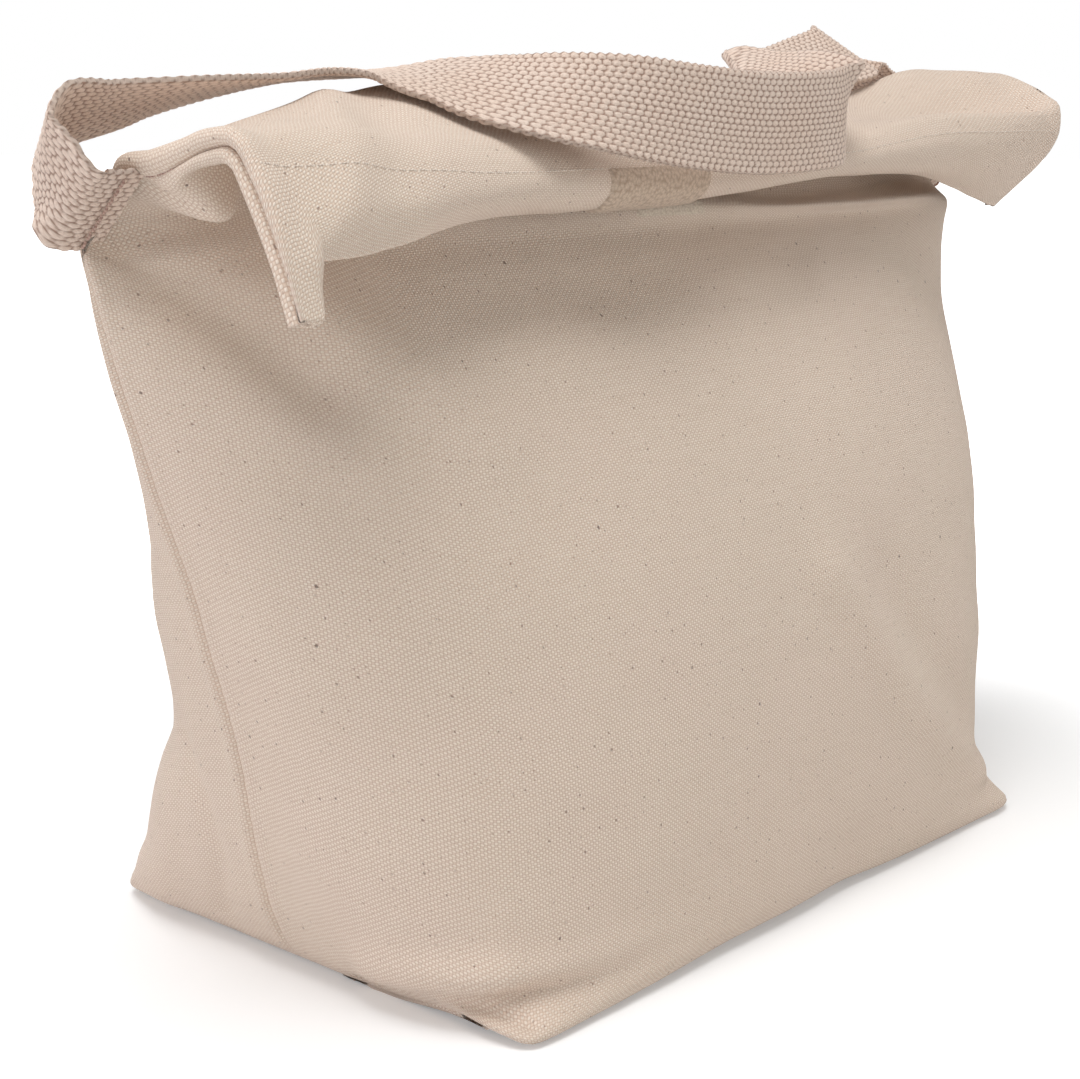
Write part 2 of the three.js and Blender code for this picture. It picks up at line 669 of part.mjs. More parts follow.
addMesh('band_left_seam', foldSeam(bandProfiles, -1, bandRows, bandSeamStart, 1), canvas);
addMesh('band_right_seam', foldSeam(bandProfiles, 1, bandRows, bandSeamStart, 1), canvas);
addMesh('hem_stitching', onBand(
  -flapEnd + hemStitchEndGap, flapEnd - hemStitchEndGap, hemStitchStart, hemStitchEnd, hemStitchDepth,
  flapSteps, 1), thread);
addMesh('loop_patch', onBand(
  loopPatchMiddleX - loopPatchWidth / 2, loopPatchMiddleX + loopPatchWidth / 2, loopPatchStart,
  loopPatchEnd, patchThickness, 8, bandRows), patch);
const hookPatchLow = frontWallTopMiddle - hookPatchHeight - hookPatchTopGap;
addMesh('hook_patch', onFrontWall(
  hookPatchMiddleX, hookPatchWidth, hookPatchLow, hookPatchLow + hookPatchHeight, patchThickness), patch);

addMesh('handle', strap(), webbing);
addMesh('handle_left_stitching', handleStitching(-1), thread);
addMesh('handle_right_stitching', handleStitching(1), thread);

export default bag;
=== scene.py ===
# Looks of a canvas lunch bag whose top is folded forward, with one webbing handle.
# Lengths in the tables below are millimetres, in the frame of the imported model: +X to the right,
# +Y to the back, +Z up, from the middle of the base. Meshes are made in metres.

import math

import bpy
import numpy as np
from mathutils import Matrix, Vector, noise


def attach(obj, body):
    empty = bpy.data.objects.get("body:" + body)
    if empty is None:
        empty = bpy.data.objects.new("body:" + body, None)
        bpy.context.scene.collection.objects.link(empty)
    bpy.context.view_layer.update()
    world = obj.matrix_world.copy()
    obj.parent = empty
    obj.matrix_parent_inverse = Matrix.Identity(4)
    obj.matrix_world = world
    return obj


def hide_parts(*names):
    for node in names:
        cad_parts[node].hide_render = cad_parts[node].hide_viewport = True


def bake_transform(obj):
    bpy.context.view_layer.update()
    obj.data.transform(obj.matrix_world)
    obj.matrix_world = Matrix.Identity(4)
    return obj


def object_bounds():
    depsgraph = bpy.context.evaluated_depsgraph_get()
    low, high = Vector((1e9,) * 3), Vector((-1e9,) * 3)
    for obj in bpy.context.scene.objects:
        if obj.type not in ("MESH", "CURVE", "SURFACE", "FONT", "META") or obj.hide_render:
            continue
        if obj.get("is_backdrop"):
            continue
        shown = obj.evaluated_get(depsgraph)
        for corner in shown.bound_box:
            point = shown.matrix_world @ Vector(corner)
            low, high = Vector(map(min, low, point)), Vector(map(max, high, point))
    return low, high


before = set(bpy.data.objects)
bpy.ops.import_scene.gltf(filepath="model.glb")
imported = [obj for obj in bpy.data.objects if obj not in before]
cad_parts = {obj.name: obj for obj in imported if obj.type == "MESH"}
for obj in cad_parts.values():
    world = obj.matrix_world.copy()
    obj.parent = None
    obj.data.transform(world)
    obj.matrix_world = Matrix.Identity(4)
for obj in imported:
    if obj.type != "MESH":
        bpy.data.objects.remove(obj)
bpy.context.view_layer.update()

MM = 0.001


# Camera

CAMERA_PLACE = (-439.0, -368.0, 219.0)
CAMERA_HEADING = (0.748, 0.664)
CAMERA_PITCH = math.radians(12.4)
FOCAL_PIXELS = 2030.0
PHOTO_WIDTH = 1080.0
SENSOR = 36.0


def add_object(name, data):
    obj = bpy.data.objects.new(name, data)
    bpy.context.scene.collection.objects.link(obj)
    return obj


def aim(obj, direction):
    obj.rotation_euler = direction.to_track_quat("-Z", "Y").to_euler()


def make_camera():
    data = bpy.data.cameras.new("camera")
    data.sensor_width = SENSOR
    data.lens = FOCAL_PIXELS / PHOTO_WIDTH * SENSOR
    data.clip_start = 0.02
    data.clip_end = 60.0
    camera = add_object("camera", data)
    level = math.cos(CAMERA_PITCH)
    camera.location = Vector(CAMERA_PLACE) * MM
    aim(camera, Vector((CAMERA_HEADING[0] * level, CAMERA_HEADING[1] * level, -math.sin(CAMERA_PITCH))))
    bpy.context.scene.camera = camera


make_camera()


# Curves and grids

def hermite(points, params, at):
    """Smooth curve through points[k] at params[k], read at every value of at."""
    points = np.asarray(points, float)
    params = np.asarray(params, float)
    at = np.atleast_1d(np.asarray(at, float))
    slopes = np.gradient(points, params, axis=0)
    i = np.clip(np.searchsorted(params, at, side="right") - 1, 0, len(params) - 2)
    shape = (-1,) + (1,) * (points.ndim - 1)
    h = (params[i + 1] - params[i]).reshape(shape)
    t = ((at - params[i]).reshape(shape) / h).clip(0, 1)
    t2, t3 = t * t, t * t * t
    return ((2 * t3 - 3 * t2 + 1) * points[i] + (t3 - 2 * t2 + t) * h * slopes[i]
            + (3 * t2 - 2 * t3) * points[i + 1] + (t3 - t2) * h * slopes[i + 1])


def ease(t):
    t = np.clip(t, 0, 1)
    return t * t * (3 - 2 * t)


def bell(d, width):
    return np.exp(-(d / width) ** 2)


def length(v):
    return np.linalg.norm(v, axis=-1)


def unit(v):
    return v / np.maximum(length(v)[..., None], 1e-9)


def from_start(steps):
    """Sums of the steps up to each place, from 0."""
    return np.concatenate([[0], np.cumsum(steps)])


def distances(line):
    return from_start(length(np.diff(line, axis=0)))


def read_line(line, s, at):
    """Points at the distances at, on a line whose own points are at the distances s."""
    return np.stack([np.interp(at, s, line[:, k]) for k in range(3)], axis=-1)


def grid_normals(grid):
    along_u = np.gradient(grid, axis=1)
    along_v = np.gradient(grid, axis=0)
    return unit(np.cross(along_u, along_v))


# Walls: level sections of the bag at the heights WALL_Z. A high corner power makes a square corner.

WALL_Z = [0, 4, 14, 28, 42, 55, 72, 90, 103, 126, 141, 160, 174, 185]
HALF_WIDTH = [113, 118, 124.5, 129, 132, 134, 138, 143.5, 147, 155.5, 160.5, 167, 171.5, 175.3]
FRONT_REACH = [76, 77, 78, 78.5, 78.5, 78, 76, 73, 70.5, 64, 58, 48.5, 38, 29]
BACK_REACH = [76, 77, 77.5, 78, 77, 75, 70.5, 65, 60, 49.5, 41, 31, 21, 12]
FRONT_LEFT_CORNER = [60, 9, 4.8, 3.8, 3.4, 3.2, 2.9, 2.7, 2.6, 2.3, 2.15, 2, 1.95, 1.9]
FRONT_RIGHT_CORNER = [60, 12, 4.9, 3.75, 3.5, 3.45, 3.2, 2.95, 2.8, 2.4, 2.2, 2, 2.2, 2.6]
BACK_LEFT_CORNER = [60, 18, 6.6, 4.2, 3.4, 2.7, 2.5, 2.55, 2.5, 2.05, 2, 1.95, 1.75, 1.6]
BACK_RIGHT_CORNER = [60, 10, 5.2, 4, 3.3, 2.8, 2.6, 2.5, 2.4, 2.1, 2, 1.95, 1.7, 1.55]
WALLS = {-1: (FRONT_REACH, FRONT_LEFT_CORNER, FRONT_RIGHT_CORNER),
         1: (BACK_REACH, BACK_LEFT_CORNER, BACK_RIGHT_CORNER)}
SECTION_POINTS = 400


def quarter_section(half, reach, corner, shares):
    """Points of one quarter of a level section, from the seam to the middle, at shares of its length."""
    angle = np.linspace(0, math.pi / 2, SECTION_POINTS)
    c, s = np.cos(angle), np.sin(angle)
    r = (c ** corner + s ** corner) ** (-1 / corner)
    x, y = half * r * c, reach * r * s
    run = from_start(np.hypot(np.diff(x), np.diff(y)))
    run /= run[-1]
    return np.interp(shares, run, x), np.interp(shares, run, y)


def at_height(table, z):
    return float(hermite(table, WALL_Z, [z])[0])


def wall_row(side, z, u, inset=0.0):
    """Points of the front (side -1) or back (side 1) wall at height z. u runs from -1 at the left
    seam, through 0 at the middle, to 1 at the right seam."""
    reaches, *corners = WALLS[side]
    half = at_height(HALF_WIDTH, z) - inset
    reach = at_height(reaches, z) - inset
    x = np.zeros_like(u)
    y = np.zeros_like(u)
    for hand, powers in zip((-1, 1), corners):
        part = u <= 0 if hand < 0 else u > 0
        # Read through logarithms, as the powers fall fast near the floor
        corner = math.exp(at_height(np.log(powers), z))
        px, py = quarter_section(half, reach, corner, 1 - np.abs(u[part]))
        x[part] = hand * px
        y[part] = side * py
    return np.stack([x, y, np.full_like(u, z)], axis=-1)


# The folded top. Each profile is a path in (y, z) at a place across the bag.

FOLD_END = 171.5
STATIONS = [-FOLD_END, -140, -100, -50, 0, 50, 100, 140, 158, FOLD_END]

# Outer cloth, from the back wall over the ridge and the roof to the front rim
BACK_NECK = [(-3.5, 194), (2, 199), (5, 203), (6.5, 202), (6.5, 201), (6.5, 201), (5.5, 203), (2, 207),
             (-0.5, 201.5), (-3.5, 195)]
ROOF = [
    [(-9.5, 203.5), (-20, 204), (-31, 207), (-40, 210), (-47, 210.5), (-51, 208)],
    [(-5, 208.5), (-14, 212.5), (-27, 213.5), (-38, 213), (-47, 211), (-51, 207.5)],
    [(-2, 214), (-12, 220.5), (-25, 217.5), (-38, 211.5), (-46, 208), (-50, 204.5)],
    [(-1, 213.5), (-12, 219), (-25, 216), (-36, 211.5), (-43, 207.5), (-46.5, 204)],
    [(-1, 212.5), (-12, 217.5), (-25, 215.5), (-36, 211), (-42, 207.5), (-45.5, 204)],
    [(-1, 211.5), (-12, 216.5), (-25, 214.5), (-36, 211), (-42, 208), (-46, 205)],
    [(-1, 213.5), (-12, 218.5), (-22, 214.5), (-32, 211), (-40, 212.5), (-46, 212)],
    [(-4, 217), (-15, 226.5), (-25, 222), (-34, 213), (-42, 211.5), (-48.5, 213)],
    [(-7, 211), (-17, 222.5), (-28, 225.5), (-37, 218), (-44, 213), (-49.5, 213)],
    [(-9.5, 205), (-20, 214.5), (-29.5, 221), (-38, 222.5), (-45, 220), (-49, 214)],
]
# Outer cloth of the mouth band, from the front rim down to the mouth
BAND = [
    [(-52.5, 206), (-56, 201), (-59.5, 196), (-62, 191), (-63, 187)],
    [(-52.5, 205.5), (-55, 201), (-57.5, 196), (-58, 191), (-57, 186.5)],
    [(-51.5, 202.5), (-53, 199.5), (-53.5, 196.5), (-52, 193.5), (-48, 191)],
    [(-48, 202), (-49.5, 199), (-49, 195.5), (-45.5, 192), (-39, 190.5)],
    [(-47, 202), (-48.5, 199), (-48, 196), (-44.5, 193.2), (-38, 192)],
    [(-47.5, 203.5), (-49, 201), (-48.3, 198.3), (-45.5, 196.2), (-40, 195.4)],
    [(-48, 208.5), (-49.5, 204.5), (-48.7, 200), (-46, 196.2), (-41, 194.7)],
    [(-50, 209), (-50, 204), (-47.8, 198.5), (-42.5, 192.5), (-35, 187.3)],
    [(-50, 209), (-49, 203.5), (-45.3, 197.5), (-38.5, 190.5), (-30.5, 184)],
    [(-49, 208), (-46.5, 203), (-42, 197.5), (-35, 190), (-27, 182)],
]
# The front wall's upper edge, where it turns back on the right, and where it turns forward under the roof
FRONT_EDGE = [(-2.5, 189), (-15, 190), (-23, 190.5), (-27, 190.5), (-29.5, 189.6), (-30.5, 188),
              (-28.5, 187.5), (-21, 187.8), (-13, 188.3), (-3, 189)]
FRONT_NECK = [(-4, 195), (-14, 194), (-21, 196), (-23, 196), (-23, 195), (-20, 190.5), (-17, 190.5),
              (-11, 191), (-7, 192), (-4, 195)]
CREASE = [(-7, 203), (-13, 203.5), (-18, 204), (-19, 205), (-19, 205), (-19, 205), (-18, 205), (-13, 206),
          (-10.5, 205), (-7, 204)]

# The left end hangs lower at its seam: width of the strip and its step, and moves of the band's knots
EAR_WIDTH = 11.0
EAR_STEP = 4.5
EAR_DROP = [(0, 0), (0, 0), (-0.5, -2), (-2.5, -6), (-5.5, -11.5)]
# Beside it the front cloth folds forward over the wall: middle and reach along x, and move of the crease
EAR_FOLD_PLACE = (-157.0, 12.0)
EAR_FOLD = (-17.0, -10.5)

# Thickness of one layer, distance of the folded top's two layers, radius of its round sewn ends, and the
# stretch beside them over which the layers settle
CLOTH = 1.1
LAYER_GAP_MIDDLE = 6.0
LAYER_GAP_ENDS = 4.2
LOBE_TOP = 1.9
LOBE_SETTLE = 8.0


def table_row(table, x, move=0):
    """Points at the places x, from a table of (y, z) pairs at the stations."""
    yz = hermite(np.array(table, float), STATIONS, x) + move
    return np.stack([x, yz[:, 0], yz[:, 1]], axis=-1)


def end_distance(u):
    return (1 - np.abs(u)) * FOLD_END


# Distances of the near columns from the side seams, as start, end and step
NEAR_COLUMNS = [(0, 7, 0.5), (7, 17, 0.75)]
FAR_STEP = 2.0


def column_places():
    """Places u of the grid columns, close together at the side seams."""
    near = np.concatenate([np.arange(*places) for places in NEAR_COLUMNS])
    far = np.arange(NEAR_COLUMNS[-1][1], FOLD_END, FAR_STEP)
    far += (FOLD_END - far[-1]) * (far - far[0]) / (far[-1] - far[0])
    u = 1 - np.concatenate([near, far]) / FOLD_END
    u[-1] = 0
    return np.concatenate([-u, u[::-1][1:]])


COLUMNS = column_places()
ROW_STEP = 1.5


def layer_offset(e, inner_gap):
    """Half thickness of the doubled cloth at distance e from the sewn end: a round lobe, then flat."""
    r = LOBE_TOP
    round_length = math.pi * r
    angle = np.clip(e / round_length, 0, 1) * math.pi - math.pi / 2
    flat_stretch = (FOLD_END - r) / (FOLD_END - round_length)
    inward = np.where(e < round_length, r - r * np.cos(angle), r + (e - round_length) * flat_stretch)
    off = r + r * np.sin(angle)
    settle = ease((e - round_length) / LOBE_SETTLE)
    return inward, off + (inner_gap - off) * settle


def fine_rows(start, stop):
    """Row parameters about ROW_STEP apart, with both ends kept."""
    return np.linspace(start, stop, max(2, int(round((stop - start) / ROW_STEP)) + 1))


# Cloth surfaces: knots[row][column] from the bottom seam to the mouth

WALL_KNOT_Z = [2.2, 5, 9, 14, 20, 28, 36, 46, 56, 66, 78, 90, 103, 116, 130, 144, 157, 168, 177, 184]
# Rows of the base as shares of the way out from the bottom seam, inset of its edge, and opening of its ends
BASE_KNOTS = [0.0, 0.3, 0.6, 0.85, 0.95]
BASE_EDGE_ROUND = 1.0
BASE_END_OPEN = 0.2
# The row on the rounded edge: height of its section, and its own height and inset
EDGE_ROW_SECTION = 0.4
EDGE_ROW = 0.45
# Edges of the base's front half that are slightly off the floor: axis out to the edge, power of the lift's
# fall inward, height where it ends on the wall, its size, its middle along the edge and its reach
BASE_LIFTS = [
    (1, 3, 24.0, 2.4, -8.0, 62.0),
    (0, 6, 12.0, 2.2, -52.0, 17.0),
]


def base_and_wall_knots(side, u):
    """The half of the base from the bottom seam out, its rounded edge and the wall above."""
    foot = wall_row(side, 0.0, u, inset=BASE_EDGE_ROUND)
    knots = [foot * [1, share, 1] + [0, side * BASE_END_OPEN * share, 0] for share in BASE_KNOTS]
    edge = wall_row(side, EDGE_ROW_SECTION, u, inset=EDGE_ROW)
    edge[:, 2] = EDGE_ROW
    knots.append(edge)
    knots += [wall_row(side, z, u) for z in WALL_KNOT_Z]
    for axis, power, height, rise, middle, reach in BASE_LIFTS if side < 0 else []:
        for row in knots:
            share = np.clip(row[:, axis] / foot[:, axis].min(), 0, 1) ** power
            share *= 1 - ease(row[:, 2] / height)
            row[:, 2] += rise * share * bell(row[:, 1 - axis] - middle, reach)
    return knots


def outer_fold_knots(u):
    """Rows of the back cloth above the wall: neck, ridge, roof, rim and band."""
    x = u * FOLD_END
    rows = [table_row(places, x) for places in (BACK_NECK, *zip(*ROOF))]
    ear = 1 - ease((x[:, None] + FOLD_END - EAR_WIDTH) / EAR_STEP)
    rows += [table_row(places, x, ear * np.array(drop)) for places, drop in zip(zip(*BAND), EAR_DROP)]
    return np.array(rows)


def square_to(along):
    """Unit vectors into the fold, square to the directions along its profile."""
    return unit(np.stack([np.zeros_like(along[..., 0]), -along[..., 2], along[..., 1]], axis=-1))


# The two layers come together at the sewn ends of the mouth: share by row, up to the last one
PINCH = [0.2, 0.65, 1.0]
PINCH_FROM = 30.0
PINCH_REACH = 20.0
PINCHED = 2.25


def lobed(rows, inward, u, sign, pinch=PINCH):
    """Rows moved from the outer face to one layer of the doubled cloth, with its round sewn end."""
    e = end_distance(u)
    middle = 1 - np.abs(u) ** 3
    half_gap = (LAYER_GAP_ENDS + (LAYER_GAP_MIDDLE - LAYER_GAP_ENDS) * middle) / 2
    inset, off = layer_offset(e, half_gap)
    share = np.zeros(len(rows))
    share[len(rows) - len(pinch):] = pinch
    close = share[:, None] * (1 - ease((e - PINCH_FROM) / PINCH_REACH))[None, :]
    depth = half_gap - sign * (off + (np.minimum(off, PINCHED) - off) * close)
    moved = rows + inward * depth[..., None]
    moved[..., 0] = (np.sign(u) * (FOLD_END - inset))[None, :]
    return moved


# Shares of the doubled cloth's shape in the back cloth's first rows above the wall
DOUBLED_FROM_NECK = [0.25, 0.8]


def back_knots(u):
    fold = outer_fold_knots(u)
    doubled = lobed(fold, square_to(np.gradient(fold, axis=0)), u, 1)
    grow = np.ones((len(fold), 1, 1))
    grow[:len(DOUBLED_FROM_NECK), 0, 0] = DOUBLED_FROM_NECK
    return np.array(base_and_wall_knots(1, u) + list(fold + (doubled - fold) * grow))


INNER_ROOF_FROM = 2
INNER_BAND_ROWS = 4
# Behind the band the inner cloth runs straight, but follows it at the ends
STRAIGHT_ROWS = 3
FOLLOWS_FROM = 0.62
FOLLOWS_OVER = 0.3


def front_knots(u):
    x = u * FOLD_END
    edge, neck, crease = (table_row(table, x) for table in (FRONT_EDGE, FRONT_NECK, CREASE))
    crease[:, 1:] += bell(x - EAR_FOLD_PLACE[0], EAR_FOLD_PLACE[1])[:, None] * np.array(EAR_FOLD)
    fold = outer_fold_knots(u)[1:]
    under = lobed(fold, square_to(np.gradient(fold, axis=0)), u, -1)
    roof_rows = len(ROOF[0])
    band_top = fold[roof_rows]
    chord = fold[roof_rows + STRAIGHT_ROWS] - band_top
    share = ease((np.abs(u) - FOLLOWS_FROM) / FOLLOWS_OVER)[:, None]
    inner = []
    for k in range(1, INNER_BAND_ROWS + 1):
        straight = band_top + chord * (k / INNER_BAND_ROWS)
        row = lobed(straight[None], square_to(chord)[None], u, -1, pinch=())[0]
        ends = under[roof_rows + min(k, len(BAND[0]) - 1)]
        row[:, 0] = ends[:, 0]
        inner.append(row * (1 - share) + ends * share)
    roof = list(under[INNER_ROOF_FROM:roof_rows - 1])
    return np.array(base_and_wall_knots(-1, u) + [edge, neck, crease] + roof + inner)


# Knots at which the wall ends, the flap's cloth is divided from it, and the band starts
WALL_KNOTS = len(BASE_KNOTS) + 1 + len(WALL_KNOT_Z)
BACK_SPLIT = WALL_KNOTS + 1 + INNER_ROOF_FROM
FRONT_SPLIT = WALL_KNOTS + 3
BAND_TOP = WALL_KNOTS + 1 + len(ROOF[0])
INNER_BAND_TOP = FRONT_SPLIT + len(ROOF[0]) - 1 - INNER_ROOF_FROM


# How far from the seam a cloth is moved to close it
SEAM_REACH = 15.0


def nearest_on(line, points):
    """The nearest place on a line for every one of the points."""
    starts, steps = line[:-1], np.diff(line, axis=0)
    points = points[..., None, :]
    along = (((points - starts) * steps).sum(axis=-1) / (steps ** 2).sum(axis=-1)).clip(0, 1)
    places = starts + steps * along[..., None]
    best = np.argmin(length(places - points), axis=-1)
    return np.take_along_axis(places, best[..., None, None], axis=-2)[..., 0, :]


def close_seam(grid, edge, column):
    """Moves one side of a grid so that its edge lies on the other cloth's edge."""
    hand = np.sign(COLUMNS) == np.sign(COLUMNS[column])
    fade = np.where(hand, 1 - ease(end_distance(COLUMNS) / SEAM_REACH), 0)
    grid += (nearest_on(edge, grid[:, column]) - grid[:, column])[:, None] * fade[:, None]


# Relief of the sagging cloth. A bulge is a place, its reach along each axis and how far the cloth stands
# out there. A crease is a line, its width and how far the cloth stands out.

BULGES = [
    ((-118, -36, 160), (30, 30, 22), 3.0),
    ((60, -60, 120), (70, 40, 50), 1.5),
    ((22, -78, 13), (16, 14, 9), -1.5),
    ((-51, -78, 20), (30, 14, 11), -1.2),
    ((-60, -40, 172), (45, 25, 9), -1.6),
    ((150, -20, 60), (25, 30, 40), -1.5),
]
CREASES = [
    ([(-167, -8, 184), (-158, -15, 177), (-148, -22, 169), (-136, -32, 155)], 8, -4.2),
    ([(-150, -8, 160), (-140, -20, 150), (-128, -34, 136)], 9, 2.0),
    ([(-128, -28, 170), (-112, -40, 154), (-96, -50, 140)], 9, 2.2),
    ([(13, -73, 92), (34, -77, 64), (52, -78, 46), (85, -74, 24), (105, -74, 10)], 9, 2.4),
    ([(40, -77, 86), (62, -77, 58), (84, -76, 38)], 9, -1.8),
    ([(-131, 25, 60), (-132, 18, 44), (-129, 16, 28), (-123, 22, 12)], 4, -1.4),
    ([(-133, 40, 40), (-128, 44, 22), (-120, 55, 8)], 8, 1.2),
    ([(-116, -22, 3), (-118, -34, 5.5), (-117, -46, 6.5), (-114, -60, 6.5), (-109, -71, 4.5)], 2.1, -2.0),
    ([(-123, -32, 11), (-119, -50, 14), (-112, -67, 15)], 5.5, 2.4),
    ([(-116, -15, 221), (-130, -35, 213), (-142, -50, 204), (-150, -58, 195), (-161, -62, 187)], 5, 1.5),
    ([(-104, -16, 222), (-118, -38, 212), (-128, -52, 203), (-134, -57, 194)], 7, -1.2),
]


# Relief and rumple fade in from the floor up to these heights
RELIEF_FROM_FLOOR = 2.6
RUMPLE_FROM_FLOOR = 4.0
# Slow, shallow unevenness of washed cloth: height, size, and share and scale of a finer part
RUMPLE = 0.55
RUMPLE_SIZE = 34.0
RUMPLE_FINE = (0.4, 2.7)
# It grows from the first distance to a sewn end over the second
RUMPLE_EDGE = (4.0, 20.0)


def relief(grid, normals):
    height = np.zeros(grid.shape[:2])
    for place, reach, rise in BULGES:
        d = (grid - np.array(place)) / np.array(reach)
        height += rise * np.exp(-(d ** 2).sum(axis=-1))
    for line, width, rise in CREASES:
        height += rise * bell(length(grid - nearest_on(np.array(line, float), grid)), width)
    return grid + normals * (height * ease(grid[..., 2] / RELIEF_FROM_FLOOR))[..., None]


def rumple(grid, normals, strength):
    height = np.zeros(grid.shape[:2])
    share, scale = RUMPLE_FINE
    for at in np.ndindex(height.shape):
        place = Vector(grid[at] / RUMPLE_SIZE)
        height[at] = noise.noise(place) + share * noise.noise(place * scale)
    return grid + normals * (height * strength)[..., None]


# Meshes

def new_object(name, vertices, faces, uvs, material, normals=None):
    mesh = bpy.data.meshes.new(name)
    mesh.from_pydata((np.asarray(vertices) * MM).tolist(), [], [list(map(int, f)) for f in faces])
    layer = mesh.uv_layers.new(name="cloth")
    loops = np.zeros(len(mesh.loops), dtype=np.int32)
    mesh.loops.foreach_get("vertex_index", loops)
    layer.data.foreach_set("uv", np.asarray(uvs, np.float32)[loops].ravel())
    mesh.polygons.foreach_set("use_smooth", [True] * len(mesh.polygons))
    mesh.materials.append(material)
    if normals is not None:
        mesh.normals_split_custom_set_from_vertices(np.asarray(normals).tolist())
    return add_object(name, mesh)


def ring_faces(rows, columns, flip):
    """Faces between closed rings: the columns run round each ring, the rows along the piece."""
    r, c = np.meshgrid(np.arange(rows - 1), np.arange(columns), indexing="ij")
    a = r * columns + c
    b = r * columns + (c + 1) % columns
    quads = np.stack([a, b, b + columns, a + columns], axis=-1).reshape(-1, 4)
    return quads[:, ::-1] if flip else quads


# Share of a column's own length in its places along the cloth. The rest is the columns' mean.
OWN_LENGTH = 0.25


def cloth_uv(grid):
    """Flat places on the cloth, in metres: across from the middle column, along from the first row."""
    step_v = length(np.diff(grid, axis=0))
    v = np.concatenate([np.zeros((1, grid.shape[1])), np.cumsum(step_v, axis=0)])
    v = v * OWN_LENGTH + v.mean(axis=1, keepdims=True) * (1 - OWN_LENGTH)
    s = from_start(length(np.diff(grid, axis=1)).mean(axis=0))
    s -= s[grid.shape[1] // 2]
    return np.stack([np.broadcast_to(s, v.shape), v], axis=-1) * MM


# Steps round the edge of a cloth
EDGE_STEPS = 4


def ring_object(name, points, facing, uv, material, flip):
    """A closed piece made of rings, with the first half of each end ring joined to its second half."""
    rows, ring = points.shape[:2]
    faces = ring_faces(rows, ring, flip).tolist()
    for row, turned in ((0, not flip), (rows - 1, flip)):
        first = row * ring
        for near in range(ring // 2 - 1):
            far = ring - 1 - near
            face = [first + near, first + near + 1, first + far - 1, first + far]
            faces.append(face[::-1] if turned else face)
    points, uv, facing = (part.reshape(-1, part.shape[-1]) for part in (points, uv, facing))
    return new_object(name, points, faces, uv, material, facing)


def shell(name, grid, normals, uv, material, thickness, round_last=False):
    """A thin closed cloth. The grid is its outer face and the normals look away from the cloth. Each
    column becomes a closed ring: down the outer face, round the last edge and back up the inner face."""
    thickness = np.broadcast_to(thickness, grid.shape[:2])
    rows = list(zip(grid, normals, uv))
    if round_last:
        ahead = unit(grid[-1] - grid[-2])
        radius = thickness[-1][:, None] / 2
        for k in range(1, EDGE_STEPS):
            angle = math.pi * k / EDGE_STEPS
            direction = normals[-1] * math.cos(angle) + ahead * math.sin(angle)
            rows.append((grid[-1] + (direction - normals[-1]) * radius, direction,
                         uv[-1] + [0, radius.mean() * angle * MM]))
    inner = grid - normals * thickness[..., None]
    rows += zip(inner[::-1], -normals[::-1], uv[::-1])
    points, facing, places = (np.array(part).transpose(1, 0, 2) for part in zip(*rows))
    m, k = len(points) // 2, len(grid) // 2
    square = np.cross(points[m + 1, k] - points[m, k], points[m, k + 1] - points[m, k])
    return ring_object(name, points, facing, places, material, (square * facing[m, k]).sum() > 0)


# Materials

def operator(operation):
    return lambda self, value: self.graph.math(operation, self, value)


class Value:
    """An output of a node, for use in sums and products."""

    def __init__(self, graph, socket):
        self.graph = graph
        self.socket = socket

    def other(self, output):
        return Value(self.graph, self.socket.node.outputs[output])

    __add__ = operator("ADD")
    __sub__ = operator("SUBTRACT")
    __mul__ = operator("MULTIPLY")
    __truediv__ = operator("DIVIDE")
    __pow__ = operator("POWER")


# The same for all cloth and thread
SHEEN_ROUGHNESS = 0.6
SPECULAR = 0.25


class Graph:
    """The nodes of a material or of the world. An input may be a number, a tuple or a Value."""

    def __init__(self, owner):
        self.owner = owner
        owner.use_nodes = True
        self.tree = owner.node_tree
        self.tree.nodes.clear()

    def put(self, value, socket):
        if isinstance(value, Value):
            self.tree.links.new(value.socket, socket)
        else:
            socket.default_value = (*value, 1) if socket.type == "RGBA" else value

    def node(self, kind, *values, **inputs):
        """A new node with its first inputs and those given by name. Gives its first output."""
        made = self.tree.nodes.new("ShaderNode" + kind)
        for value, socket in zip(values, made.inputs):
            self.put(value, socket)
        for key, value in inputs.items():
            self.put(value, made.inputs[key.replace("_", " ")])
        return Value(self, made.outputs[0]) if made.outputs else None

    def set(self, value, **settings):
        """Changes settings of the node that a value comes from."""
        for key, setting in settings.items():
            setattr(value.socket.node, key, setting)
        return value

    def math(self, operation, *values):
        return self.set(self.node("Math", *values), operation=operation)

    def mix(self, share, low, high):
        made = self.set(self.node("Mix", share), data_type="RGBA").socket.node
        self.put(low, made.inputs[6])
        self.put(high, made.inputs[7])
        return Value(self, made.outputs[2])

    def noise(self, x, y, scale=1.0, detail=2.0, rough=0.5, z=0.0):
        return self.node("TexNoise", Vector=self.node("CombineXYZ", x, y, z), Scale=scale, Detail=detail,
                         Roughness=rough)

    def cells(self, x, y, scale=1.0):
        """Distance to the middle of the nearest of many random cells."""
        made = self.node("TexVoronoi", Vector=self.node("CombineXYZ", x, y, 0.0), Scale=scale)
        return self.set(made, voronoi_dimensions="2D")

    def between(self, value, low, high):
        return self.set(self.node("MapRange", value, low, high), interpolation_type="SMOOTHSTEP")

    def bump(self, height, distance, strength, **normal):
        return self.node("Bump", Height=height, Distance=distance, Strength=strength, **normal)

    def finish(self, color, normal, roughness, sheen):
        shader = self.node("BsdfPrincipled", Base_Color=color, Normal=normal, Roughness=roughness,
                           Sheen_Weight=sheen, Sheen_Roughness=SHEEN_ROUGHNESS, Specular_IOR_Level=SPECULAR)
        self.node("OutputMaterial", Surface=shader)
        return self.owner


